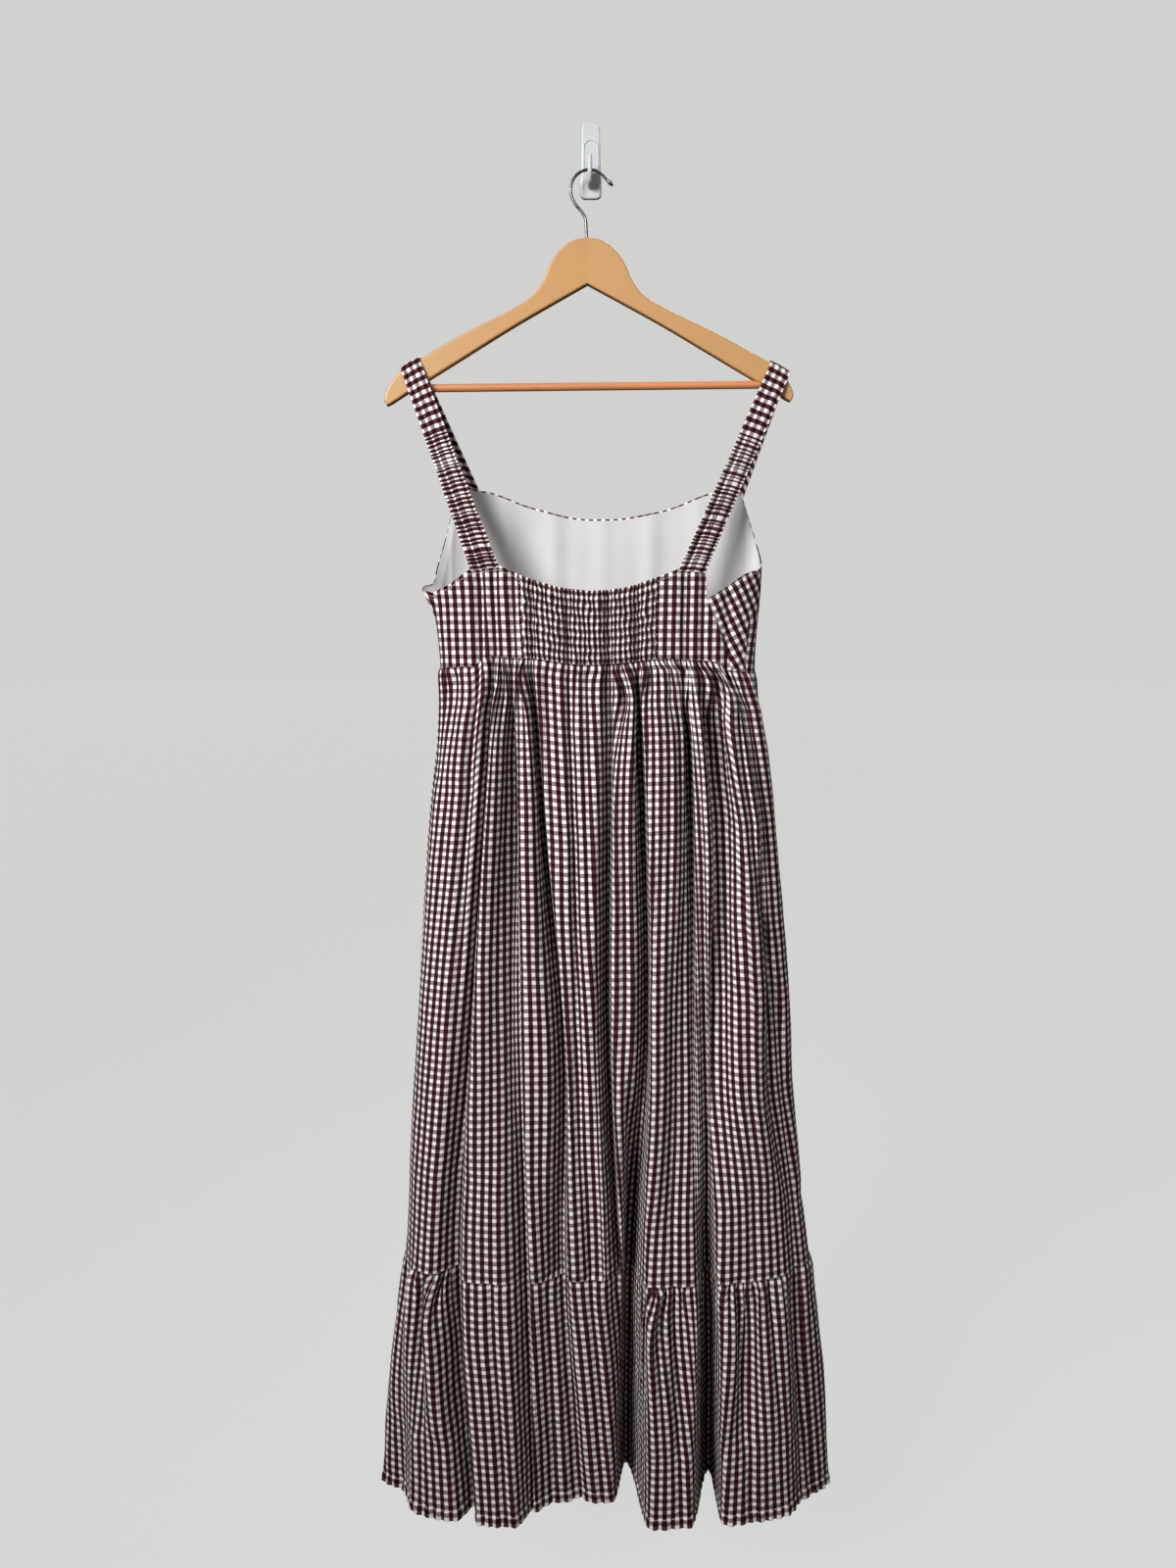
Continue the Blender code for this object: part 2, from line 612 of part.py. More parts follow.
def rounded_plate():
    """The plate's outline, anticlockwise from its lower right corner."""
    corners = ((PLATE_WIDE_BOTTOM / 2.0, PLATE_BOTTOM, -90.0), (PLATE_WIDE_TOP / 2.0, PLATE_TOP, 0.0),
               (-PLATE_WIDE_TOP / 2.0, PLATE_TOP, 90.0), (-PLATE_WIDE_BOTTOM / 2.0, PLATE_BOTTOM, 180.0))
    points = []
    for x, z, start in corners:
        middle_x = x - math.copysign(PLATE_ROUND, x)
        middle_z = z - math.copysign(PLATE_ROUND, z)
        for step in range(7):
            turn = math.radians(start + 15.0 * step)
            points.append((middle_x + PLATE_ROUND * math.cos(turn), middle_z + PLATE_ROUND * math.sin(turn)))
    return points


def arch_outline():
    """The raised frame round the prong: straight below, half round on top."""
    radius = ARCH_WIDE / 2.0
    points = [(radius, ARCH_BOTTOM)]
    for step in range(11):
        turn = math.radians(18.0 * step)
        points.append((radius * math.cos(turn), ARCH_TOP - radius + radius * math.sin(turn)))
    points.append((-radius, ARCH_BOTTOM))
    return points


def make_wall_hook(collection, cutters, plastic):
    outline = curve_mesh("wall_hook", rounded_plate(), PLATE_THICK)
    plate = add_object("wall_hook", outline, collection, plastic)
    plate.rotation_euler = (math.pi / 2.0, 0.0, 0.0)
    plate.location = (0.0, -PLATE_THICK / 2.0, 0.0)
    soften(plate, 0.0008, angle=60.0)
    arch = add_object("arch", curve_mesh("arch", arch_outline(), PLATE_THICK), cutters, plastic)
    arch.rotation_euler = (math.pi / 2.0, 0.0, 0.0)
    arch.location = (0.0, -PLATE_THICK / 2.0 - ARCH_PROUD, 0.0)
    side = [(-out, up) for out, up in PRONG]
    prong = add_object("prong", curve_mesh("prong", side, PRONG_WIDE), cutters, plastic)
    prong.rotation_euler = (math.pi / 2.0, 0.0, math.pi / 2.0)
    prong.location = (PRONG_MIDDLE, 0.0, 0.0)
    for extra in (arch, prong):
        extra.hide_render = True
        extra.display_type = "WIRE"
        cut(plate, extra, "UNION")


def strap_rest(across):
    """Height of the strap's straight line of rest on the hanger, clear of the wood between its edges."""
    inner = min(abs(across[0]), abs(across[-1]))
    samples = np.linspace(across[0], across[-1], 25)
    wood = np.array([arm_top(x) for x in samples])
    lift = np.max(wood + STRAP_SLOPE * (np.abs(samples) - inner))
    return lift - STRAP_SLOPE * (np.abs(across) - inner)


def strap_columns(side, count):
    """Strap points from the back bodice, over the hanger, to the front bodice: rows of points."""
    parts = np.linspace(0.0, 1.0, count + 1)
    back = shared_out(BACK_TOP_LEVEL, np.array(STRAP_BACK[side]), (count,))
    front = shared_out(FRONT_TOP_LEVEL, np.array(STRAP_FRONT[side][::-1]), (count,))[::-1]
    on_hanger = np.interp(parts, (0.0, 1.0), STRAP_ON_HANGER[side])
    start = layer(back, back_top(back) + SEAM / 2.0, 0.0)
    end = layer(front, front_top(front) + SEAM / 2.0, 0.0)
    top = strap_rest(on_hanger)
    corner = STRAP_WRAP - STRAP_WRAP_ROUND
    bend = []
    for turn in np.radians((0.0, 45.0, 90.0)):
        rise = STRAP_WRAP_ROUND * math.sin(turn) - WOOD_EDGE
        bend.append((-corner - STRAP_WRAP_ROUND * math.cos(turn), rise))
    bend += [(-out, up) for out, up in bend[::-1]]
    steep = math.hypot(1.0, STRAP_SLOPE)
    wrap = [np.stack([on_hanger, np.full(count + 1, HANGER_TOP[1] + out), top + up * steep], axis=-1)
            for out, up in bend]
    ruches = np.linspace(0.0, STRAP_RUCHED, 2 * STRAP_RUCHES + 1)
    plain = np.linspace(STRAP_RUCHED, 1.0, 5)[1:-1]
    rows = [start + (wrap[0] - start) * part for part in np.concatenate([ruches, plain])]
    rows += wrap
    share = STRAP_BEHIND / (wrap[-1][:, 2] - end[:, 2]).mean()
    behind = wrap[-1] + (end - wrap[-1]) * share
    behind[:, 1] = wrap[-1][:, 1]
    rows.append(behind)
    rows += [behind + (end - behind) * part for part in (0.25, 0.5, 0.75, 1.0)]
    return np.array(rows), back, front


def facing(points, back, front):
    """Unit vectors out of the strap; at its sewn ends they are the bodice's own."""
    down = np.gradient(points, axis=0)
    over = np.gradient(points, axis=1)
    out = np.cross(over, down)
    out /= np.linalg.norm(out, axis=-1, keepdims=True)
    if out[0, 0, 1] > 0.0:
        out = -out
    for row, places, edge in ((0, back, back_top), (-1, front, front_top)):
        x, y = outward(places, edge(places))
        out[row] = np.stack([x, y, np.zeros(len(places))], axis=-1)
    return out


def make_straps(collection, material):
    for side in ("left", "right"):
        points, back, front = strap_columns(side, STRAP_COLUMNS)
        ridge = np.zeros(len(points))
        ridge[1:2 * STRAP_RUCHES:2] = STRAP_RUCHE
        outer = points + facing(points, back, front) * (CLOTH / 2.0 + ridge)[:, None, None]
        plain, back, front = strap_columns(side, STRAP_COLUMNS)
        inner = plain - facing(plain, back, front) * CLOTH / 2.0
        keep = list(range(0, 2 * STRAP_RUCHES, 8)) + list(range(2 * STRAP_RUCHES, len(plain)))
        wall("strap_" + side, outer, inner[keep], collection, material)


def build():
    clear_scene()
    dress = new_collection(COLLECTION)
    cutters = new_collection(CUTTERS)
    gingham = new_material("gingham", GINGHAM, 0.85)
    lining = new_material("lining", LINING_WHITE, 0.80)
    wood = new_material("beech", BEECH, 0.42)
    bar_wood = new_material("bar_wood", BAR_WOOD, 0.45)
    chrome = new_material("chrome", CHROME, 0.20, 1.0)
    plastic = new_material("white_plastic", WHITE_PLASTIC, 0.35)
    make_skirt(dress, gingham)
    make_ruffle(dress, gingham)
    make_back_bodice(dress, gingham)
    make_front_bodice(dress, gingham, lining)
    make_straps(dress, gingham)
    make_hanger(dress, cutters, wood, bar_wood)
    make_wire_hook(dress, chrome)
    make_wall_hook(dress, cutters, plastic)


build()
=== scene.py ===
"""A sleeveless gingham maxi dress on a wooden hanger: cloth, stitching, wood and metal as they look.

Metres, +Z up, +X to the right, the wall at y = 0. The dress hangs with its shirred back to the
room, so its back faces -Y. A place round the body is one number: 0 is the left side seam, 0.5 the
middle of the back, 1 the right side, 1.5 the middle of the front, and 2 the left side seam again.
"""

import math

import bmesh
import bpy
import numpy as np
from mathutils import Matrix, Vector


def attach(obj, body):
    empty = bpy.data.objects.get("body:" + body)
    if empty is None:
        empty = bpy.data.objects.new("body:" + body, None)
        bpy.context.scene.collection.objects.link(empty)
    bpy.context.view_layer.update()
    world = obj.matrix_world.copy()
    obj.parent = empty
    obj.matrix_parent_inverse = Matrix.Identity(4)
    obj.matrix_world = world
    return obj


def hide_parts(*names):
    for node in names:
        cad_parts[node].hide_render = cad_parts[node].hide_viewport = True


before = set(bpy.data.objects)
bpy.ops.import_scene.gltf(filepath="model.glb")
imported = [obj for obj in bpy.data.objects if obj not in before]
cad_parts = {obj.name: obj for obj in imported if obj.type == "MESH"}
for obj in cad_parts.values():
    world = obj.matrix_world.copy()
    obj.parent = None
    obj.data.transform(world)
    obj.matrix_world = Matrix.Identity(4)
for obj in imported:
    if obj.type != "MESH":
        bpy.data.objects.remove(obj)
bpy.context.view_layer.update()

bl_info = {
    "name": "Gingham maxi dress",
    "version": (1, 0, 0),
    "blender": (4, 5, 0),
    "location": "3D View > Sidebar > Dress",
    "description": "Builds a hung gingham dress, its hanger and its stage round a packed frame",
    "category": "Object",
}

BODY_NAME = "root"

SEAM = 0.0003
TIER_SEAM = -1.200
HEM = -1.465
SKIRT_LENGTH = 0.660
RUFFLE_LENGTH = 0.270

# The body's section is a rounded oval: 2 would be an ellipse, larger is boxier.
ROUNDNESS = 2.6

# height, left side x, right side x, side seam y, back y, front y
BODY = (
    (-0.340, -0.168, 0.182, -0.044, -0.080, -0.011),
    (-0.440, -0.172, 0.184, -0.048, -0.084, -0.011),
    (-0.545, -0.163, 0.178, -0.051, -0.090, -0.012),
    (-0.640, -0.168, 0.187, -0.056, -0.104, -0.012),
    (-0.720, -0.176, 0.195, -0.059, -0.115, -0.012),
    (-0.880, -0.188, 0.214, -0.065, -0.132, -0.012),
    (-1.060, -0.201, 0.227, -0.070, -0.146, -0.012),
    (-1.200, -0.209, 0.247, -0.074, -0.155, -0.012),
    (-1.330, -0.228, 0.264, -0.082, -0.166, -0.012),
    (-1.465, -0.238, 0.272, -0.090, -0.176, -0.012),
)

# Folds are troughs pressed into the body. Each row: x at the five heights, depth at the five heights,
# width at the top, the tier and the hem, squareness, and how far it leans to the right for its depth.
FOLD_HEIGHTS = (-0.540, -0.700, -0.950, -1.200, -1.465)
BACK_FOLDS = (
    ((-0.119, -0.134, -0.150, -0.160, -0.165), (0.007, 0.011, 0.006, 0.000, 0.000),
     (0.0045, 0.0060, 0.0070), 2, 0.25),
    ((-0.103, -0.117, -0.138, -0.156, -0.136), (0.006, 0.022, 0.031, 0.040, 0.036),
     (0.0045, 0.0110, 0.0070), 2, 0.30),
    ((-0.083, -0.082, -0.083, -0.077, -0.071), (0.005, 0.016, 0.026, 0.030, 0.026),
     (0.0040, 0.0080, 0.0060), 2, 0.30),
    ((-0.063, -0.055, -0.035, -0.033, -0.014), (0.006, 0.020, 0.030, 0.018, 0.010),
     (0.0040, 0.0070, 0.0090), 2, 0.25),
    ((-0.024, -0.019, -0.014, -0.015, -0.015), (0.006, 0.012, 0.008, 0.000, 0.000),
     (0.0045, 0.0060, 0.0060), 2, 0.00),
    ((0.018, 0.015, 0.013, 0.025, 0.030), (0.007, 0.026, 0.038, 0.020, 0.000),
     (0.0050, 0.0070, 0.0070), 2, 0.18),
    ((0.048, 0.053, 0.055, 0.048, 0.047), (0.006, 0.020, 0.032, 0.000, 0.000),
     (0.0045, 0.0060, 0.0070), 2, 0.20),
    ((0.046, 0.046, 0.046, 0.044, 0.0435), (0.000, 0.000, 0.004, 0.052, 0.088),
     (0.0080, 0.0110, 0.0125), 2.6, 0.00),
    ((0.1005, 0.111, 0.1175, 0.1245, 0.1265), (0.006, 0.018, 0.032, 0.048, 0.096),
     (0.0050, 0.0090, 0.0112), 2.6, 0.10),
    ((0.118, 0.124, 0.131, 0.138, 0.140), (0.005, 0.010, 0.005, 0.000, 0.000),
     (0.0040, 0.0060, 0.0060), 2, 0.20),
    ((0.146, 0.163, 0.204, 0.222, 0.229), (0.005, 0.014, 0.018, 0.020, 0.024),
     (0.0050, 0.0070, 0.0070), 2, 0.30),
    ((-0.010, -0.010, -0.010, -0.010, -0.010), (0.000, 0.002, 0.006, 0.014, 0.042),
     (0.054, 0.055, 0.056), 6, 0.00),
    ((-0.190, -0.200, -0.212, -0.222, -0.227), (0.000, 0.000, 0.002, 0.014, 0.050),
     (0.018, 0.022, 0.025), 6, 0.00),
    ((0.200, 0.215, 0.230, 0.245, 0.258), (0.000, 0.000, 0.004, 0.012, 0.034),
     (0.020, 0.022, 0.024), 4, 0.00),
)
# The folds that the checks follow, by their rows above
SKIRT_LOCKS = (1, 2, 3, 5, 6, 8)
RUFFLE_LOCKS = (1, 2, 7, 8)
FRONT_FOLDS = (
    ((0.118, 0.132, 0.150, 0.160, 0.170), (0.002, 0.008, 0.012, 0.014, 0.022),
     (0.010, 0.014, 0.020), 2, 0.0),
    ((0.066, 0.076, 0.086, 0.094, 0.100), (0.002, 0.007, 0.011, 0.013, 0.020),
     (0.010, 0.014, 0.018), 2, 0.0),
    ((0.014, 0.022, 0.026, 0.024, 0.030), (0.002, 0.008, 0.013, 0.015, 0.024),
     (0.010, 0.014, 0.020), 2, 0.0),
    ((-0.040, -0.038, -0.044, -0.048, -0.046), (0.002, 0.007, 0.011, 0.013, 0.020),
     (0.010, 0.014, 0.018), 2, 0.0),
    ((-0.094, -0.100, -0.112, -0.118, -0.124), (0.002, 0.008, 0.012, 0.015, 0.022),
     (0.010, 0.014, 0.020), 2, 0.0),
    ((-0.132, -0.146, -0.160, -0.170, -0.186), (0.001, 0.004, 0.006, 0.008, 0.012),
     (0.010, 0.012, 0.014), 2, 0.0),
    ((0.150, 0.168, 0.188, 0.204, 0.222), (0.001, 0.004, 0.006, 0.008, 0.012),
     (0.010, 0.012, 0.014), 2, 0.0),
)
FRONT_LOCKS = (0, 1, 2, 3, 4)

# Lesser creases: x at the top, x at the bottom, top height, bottom height, depth, width
BACK_CREASES = (
    (-0.146, -0.166, -0.545, -0.860, 0.0030, 0.0045),
    (-0.116, -0.114, -0.445, -0.540, 0.0032, 0.0028),
    (-0.136, -0.140, -0.470, -0.540, 0.0016, 0.0040),
    (-0.090, -0.092, -0.560, -1.260, 0.0030, 0.0055),
    (-0.048, -0.042, -0.545, -0.760, 0.0040, 0.0040),
    (-0.040, -0.015, -0.560, -1.100, 0.0026, 0.0055),
    (-0.006, -0.002, -0.545, -0.820, 0.0045, 0.0042),
    (0.034, 0.036, -0.545, -0.950, 0.0038, 0.0045),
    (0.062, 0.072, -0.545, -0.820, 0.0036, 0.0045),
    (0.080, 0.088, -0.545, -1.180, 0.0034, 0.0055),
    (0.092, 0.097, -0.545, -0.780, 0.0040, 0.0040),
    (0.132, 0.156, -0.545, -1.050, 0.0034, 0.0050),
    (0.138, 0.182, -0.560, -1.240, 0.0030, 0.0060),
)
RUFFLE_CREASES = (
    (-0.170, -0.190, -1.200, -1.440, 0.0040, 0.0060),
    (-0.150, -0.156, -1.200, -1.330, 0.0040, 0.0050),
    (-0.110, -0.092, -1.200, -1.465, 0.0050, 0.0060),
    (-0.046, -0.040, -1.200, -1.465, 0.0045, 0.0060),
    (0.000, 0.014, -1.200, -1.440, 0.0045, 0.0055),
    (0.070, 0.074, -1.200, -1.360, 0.0040, 0.0050),
    (0.090, 0.096, -1.200, -1.465, 0.0045, 0.0060),
    (0.158, 0.176, -1.200, -1.465, 0.0055, 0.0065),
    (0.190, 0.206, -1.200, -1.340, 0.0040, 0.0050),
)
# How softly a crease begins and how slowly it fades at its lower end
CREASE_START = 0.004
CREASE_FADE = 0.11

# place round the body, height of the seam or edge there
WAIST_SEAM = ((0.0, -0.5415), (0.24, -0.5395), (0.281, -0.5280), (0.393, -0.5305), (0.49, -0.5370),
              (0.599, -0.5310), (0.6935, -0.5325), (0.7435, -0.5345), (0.767, -0.5430), (0.86, -0.5450),
              (1.5, -0.5440), (2.0, -0.5415))
BACK_TOP = ((0.0, -0.467), (0.18, -0.452), (0.2585, -0.4365), (0.3355, -0.4325), (0.382, -0.443),
            (0.452, -0.4555), (0.496, -0.4597), (0.530, -0.4565), (0.586, -0.445), (0.628, -0.4365),
            (0.6905, -0.4385))
FRONT_TOP = ((0.69, -0.470), (0.81, -0.444), (1.0, -0.427), (1.077, -0.405), (1.134, -0.375),
             (1.159, -0.358), (1.248, -0.350), (1.415, -0.372), (1.504, -0.379), (1.589, -0.368),
             (1.731, -0.349), (1.819, -0.357), (1.856, -0.395), (1.923, -0.435), (2.0, -0.466))

# The right side seam runs on the room's side of the body: height, x.
RIGHT_SEAM = ((-0.438, 0.121), (-0.470, 0.1226), (-0.545, 0.151), (-0.580, 0.166), (-0.700, 0.186),
              (-0.880, 0.1935), (-1.000, 0.203), (-1.170, 0.2255), (-1.200, 0.229), (-1.465, 0.252))
RIGHT_SEAM_TOP = -0.470
RIGHT_SEAM_WAIST = -0.543
STRAP_BACK = {"left": (0.2585, 0.3355), "right": (0.628, 0.6905)}
STRAP_FRONT = {"left": (1.819, 1.731), "right": (1.248, 1.159)}
SHIRRED = (0.382, 0.586)
BACK_TOP_LEVEL = -0.445
FRONT_TOP_LEVEL = -0.400
WAIST_LEVEL = -0.538

# The small fold at the left underarm: how far it stands out and up, its top, and its width and height
UNDERARM_OUT = 0.012
UNDERARM_UP = 0.010
UNDERARM_TOP = -0.466
UNDERARM_WIDE = 0.045
UNDERARM_TALL = 0.013

# The front's checks slant where it wraps past the right side, up to a dart.
BIAS = math.radians(31.0)
BIAS_END = 1.25
DART_PLACE = 0.864
DART_POINT = -0.056
DART_TURNING = 0.025
DART_LEAN = math.radians(-6.0)
# The bodice is pulled a little: its cloth is shorter than its place.
BODICE_EASE = 0.935
# The bodice's back and front: rows, columns between the marks round the body, and the seed
BACK_BODICE_ROWS = 60
BACK_BODICE_SEED = 31
FRONT_ROWS = 70
FRONT_COLUMNS = (26, 14, 26, 16, 34, 34, 16, 34)
FRONT_MIDDLE = 1.504
# The shirred panel: its grid and its seed
SHIRRED_COLUMNS = 320
ROWS_PER_BAND = 10
SHIRRED_SEED = 41
# Its gathers shift and differ in height, over so many columns.
SHIRRED_SHIFT = 2.0
SHIRRED_SHIFT_REACH = 14
SHIRRED_HEAVE = 0.75
SHIRRED_HEAVE_REACH = 7
SHIRRED_EDGE = 0.02
# Shares of the puff's height: all along a band, and on a gather where the elastic holds it
PUFF_SHARE = 0.40
RIDGE_SHARE = 0.30
# How far the checks follow the gathers, and how much smaller their dark marks are
TURN_SHARE = 0.8
DARK_SHARE = 0.045
# The lining: how far inside and below the front's edge it lies, and its wrinkles by width and share
LINING_GAP = 0.0004
LINING_BELOW = 0.0018
LINING_BELOW_FADE = 0.006
LINING_SEED = 61
LINING_WRINKLE = 0.0011
LINING_WRINKLES = ((9, 1.0), (4, 0.6))
LINING_SMOOTH_TOP = 0.03

# The gathers below a seam merge into wider ones: length of cloth in a gather, rise, fade below the seam
WAIST_WAVES = ((0.0170, 0.000, 0.026), (0.0380, 0.015, 0.070), (0.0800, 0.050, 0.500))
TIER_WAVES = ((0.0180, 0.000, 0.030), (0.0360, 0.015, 0.080), (0.0680, 0.045, 0.250))
# A gather's crown is broad and its sides are steep, so most of the cloth that shows lies flat.
CROWN = 0.35
STEEPNESS = 2.0
MOST_SWING = 2.3
MOST_TILT = 1.85
LOCK_BLEND = 0.012
# Gathers shift along the cloth, differ in strength and drift on their way down: how much, over what length
GATHER_SHIFT = 2.2
GATHER_SHIFT_REACH = 2.5
GATHER_STRENGTH = 0.50
GATHER_STRENGTH_REACH = 0.05
GATHER_DRIFT = 0.5
GATHER_DRIFT_LENGTH = 0.14
# Gathers fade over this width beside a side seam.
SIDE_FADE = 0.012
# Rises and falls longer than this many gathers are taken out.
SETTLE_REACH = 1.4
# Down in the deepest folds the cloth has a little less than the body's girth.
CLOTH_SHARE = 0.90
# How soon the cloth rises from a seam that holds it down
SEAM_PINCH = 0.0030
SEAM_START = 0.0006
# Below a seam the cloth stands out a little all round.
POUF = 0.0026
POUF_FADE = 0.08
# Small puckers along the hem
PUCKER = 0.0015
PUCKER_PITCH = 0.0105
PUCKER_SHIFT = 2.5
PUCKER_SHIFT_REACH = 0.03
# Narrow creases between the puffs below a seam
TOP_CREASE = 0.0048
TOP_CREASE_PITCH = 0.0125
TOP_CREASE_FADE = 0.024
TOP_CREASE_SHARPNESS = 1.6
TOP_CREASE_SHIFT = 1.6
TOP_CREASE_SHIFT_REACH = 0.025
TOP_CREASE_MEAN = 0.65
TOP_CREASE_SPREAD = 0.6
TOP_CREASE_SPREAD_REACH = 0.016
TOP_CREASE_LEAST = 0.1
TOP_CREASE_MOST = 1.3
# Points along the body when its girth is measured
FINE = 2400
# Soft relief over all the cloth: width, height and share of each size of bump
SOFT_BUMPS = ((0.040, 0.120, 1.0), (0.022, 0.060, 0.6), (0.012, 0.025, 0.3))
SOFT_REPEATS = 5
SOFT_TOTAL = 4.0
SKIRT_SOFT = 0.0006
RUFFLE_SOFT = 0.0008
BODICE_SOFT = 0.0005
# The hem's puckers, by reach in columns and share, the groove of its stitches and its fold's step
HEM_PUCKER = 0.0008
HEM_PUCKER_SIZES = ((3.5, 0.6), (9.0, 0.5))
HEM_GROOVE = 0.0012
HEM_GROOVE_WIDE = 0.0013
HEM_STEP = 0.0008
HEM_RISE = 0.35
# The hem is crumpled to the left of this x.
HEM_CRUMPLED = -0.105
HEM_CRUMPLED_FADE = 0.02
HEM_CRUMPLE = 1.3
# Panels: columns, rows near the top, in the middle and at the bottom, and the seed
SKIRT_GRIDS = {"back": (600, (38, 34, 7), 11), "front": (310, (34, 28, 7), 12)}
RUFFLE_GRIDS = {"back": (620, (30, 34, 12), 21), "front": (340, (26, 28, 12), 22)}
SKIRT_TOP_ROWS = 0.10
RUFFLE_TOP_ROWS = 0.07
BOTTOM_ROWS = 0.014
# A soft edge of cloth stays smooth up to this angle, and a hard one of wood or metal up to the other.
CLOTH_SHARP = math.radians(75)
HARD_SHARP = math.radians(35)


def column(table, index):
    """One column of a table."""
    return np.array([row[index] for row in table])


def smooth(at, stops, values):
    """Values on a smooth curve through the stops, which rise."""
    stops = np.asarray(stops, dtype=float)
    values = np.asarray(values, dtype=float)
    slopes = np.gradient(values, stops)
    at = np.clip(np.asarray(at, dtype=float), stops[0], stops[-1])
    last = np.clip(np.searchsorted(stops, at, side="right") - 1, 0, len(stops) - 2)
    width = stops[last + 1] - stops[last]
    t = (at - stops[last]) / width
    start = (1 + 2 * t) * (1 - t) ** 2 * values[last] + t * (1 - t) ** 2 * width * slopes[last]
    return start + t * t * (3 - 2 * t) * values[last + 1] + t * t * (t - 1) * width * slopes[last + 1]


def by_height(table, index, height):
    """A column of a table whose first column is the height, from the top down."""
    return smooth(-np.asarray(height, dtype=float), -column(table, 0), column(table, index))


def eased(table, place):
    """Height of a seam at a place, level at each row of its table and smooth between them."""
    places = column(table, 0)
    heights = column(table, 1)
    place = np.asarray(place, dtype=float)
    last = np.clip(np.searchsorted(places, place, side="right") - 1, 0, len(places) - 2)
    part = np.clip((place - places[last]) / (places[last + 1] - places[last]), 0.0, 1.0)
    return heights[last] + (heights[last + 1] - heights[last]) * part * part * (3.0 - 2.0 * part)


def troughs(folds, x, height):
    """How far the folds press the cloth in at x, and how far they carry it to the right."""
    heights = -np.array(FOLD_HEIGHTS)
    inward = np.zeros(np.broadcast(x, height).shape)
    sideways = np.zeros(inward.shape)
    for across, deep, wide, squareness, lean in folds:
        middle = smooth(-height, heights, across)
        depth = np.maximum(smooth(-height, heights, deep), 0.0)
        width = np.interp(-height, heights[[0, -2, -1]], wide)
        press = depth * np.exp(-np.abs((x - middle) / width) ** squareness)
        inward = inward + press
        sideways = sideways + lean * press
    return inward, sideways


def creased(creases, x, height):
    """How far the lesser creases press the cloth in; each fades at both of its ends."""
    total = np.zeros(np.broadcast(x, height).shape)
    for x_top, x_bottom, top, bottom, depth, width in creases:
        part = np.clip((top - height) / (top - bottom), -1.0, 2.0)
        middle = x_top + (x_bottom - x_top) * part
        fade = 1.0 / (1.0 + np.exp((bottom - height) / (CREASE_FADE / 4.0)))
        fade = fade / (1.0 + np.exp((height - top) / CREASE_START))
        total = total + depth * fade * np.exp(-((x - middle) / width) ** 2)
    return total


def surface(place, height, folded=True):
    """x and y of the middle of the cloth at a place round the body and a height."""
    place = np.mod(np.asarray(place, dtype=float), 2.0)
    height = np.asarray(height, dtype=float) + 0.0 * place
    left, right, side, back, front = (by_height(BODY, index, height) for index in range(1, 6))
    on_back = place <= 1.0
    angle = np.pi * np.where(on_back, place, 2.0 - place)
    power = 2.0 / ROUNDNESS
    reach = np.abs(np.sin(angle)) ** power
    across = -np.sign(np.cos(angle)) * np.abs(np.cos(angle)) ** power
    x = (left + right) / 2.0 + (right - left) / 2.0 * across
    if not folded:
        return x, side + reach * np.where(on_back, back - side, front - side)
    inward, sideways = troughs(BACK_FOLDS, x, height)
    inward = inward + creased(BACK_CREASES + RUFFLE_CREASES, x, height)
    y_back = side + reach * (back - side + inward)
    y_front = side + reach * (front - side - troughs(FRONT_FOLDS, x, height)[0])
    return np.where(on_back, x + reach * sideways, x), np.where(on_back, y_back, y_front)


def outward(place, height):
    """Level unit vector that points out of the body, as it is without its folds."""
    step = 0.004
    x_ahead, y_ahead = surface(place + step, height, False)
    x_behind, y_behind = surface(place - step, height, False)
    along = np.stack([x_ahead - x_behind, y_ahead - y_behind])
    along = along / np.linalg.norm(along, axis=0)
    return along[1], -along[0]


def place_of(x, height):
    """The place on the back whose x is given."""
    left = by_height(BODY, 1, height)
    right = by_height(BODY, 2, height)
    across = np.clip((x - (left + right) / 2.0) / ((right - left) / 2.0), -1.0, 1.0)
    return np.arccos(-np.sign(across) * np.abs(across) ** (ROUNDNESS / 2.0)) / np.pi


def seam_place(height):
    """The right side seam's place."""
    x = np.interp(-height, -column(RIGHT_SEAM, 0), column(RIGHT_SEAM, 1))
    return float(place_of(x, height))


def waist(places):
    """Height of the waist seam."""
    return eased(WAIST_SEAM, places)


def back_top(places):
    """Height of the back's top edge."""
    return np.interp(places, column(BACK_TOP, 0), column(BACK_TOP, 1))


def front_top(places):
    """Height of the front's top edge."""
    return smooth(places, column(FRONT_TOP, 0), column(FRONT_TOP, 1))


def level_edge(height):
    return lambda places: np.full(len(places), height)


def girth(marks, level):
    """Fine places between the first and last mark, and the length of cloth to each of them."""
    fine = np.linspace(marks[0], marks[-1], FINE)
    x, y = surface(fine, level)
    return fine, np.concatenate([[0.0], np.cumsum(np.hypot(np.diff(x), np.diff(y)))])


def fold_marks(pleats, high, low, on_front):
    """Places of the side seam, the pleats and the other side seam, part of the way down a panel."""
    def marks_at(part):
        level = high + (low - high) * part
        spots = [float(smooth(-level, -np.array(FOLD_HEIGHTS), pleat[0])) for pleat in pleats]
        places = [float(place_of(x, level)) for x in spots]
        if on_front:
            return [seam_place(level)] + [2.0 - place for place in places] + [2.0], level
        return [0.0] + places + [seam_place(level)], level
    return marks_at


def wander(count, reach, rng):
    """Smooth noise about zero, with its bumps about reach samples apart."""
    knots = max(4, int(count / reach) + 3)
    values = rng.uniform(-1.0, 1.0, knots)
    return smooth(np.linspace(0.0, knots - 1.0, count), np.arange(knots), values)


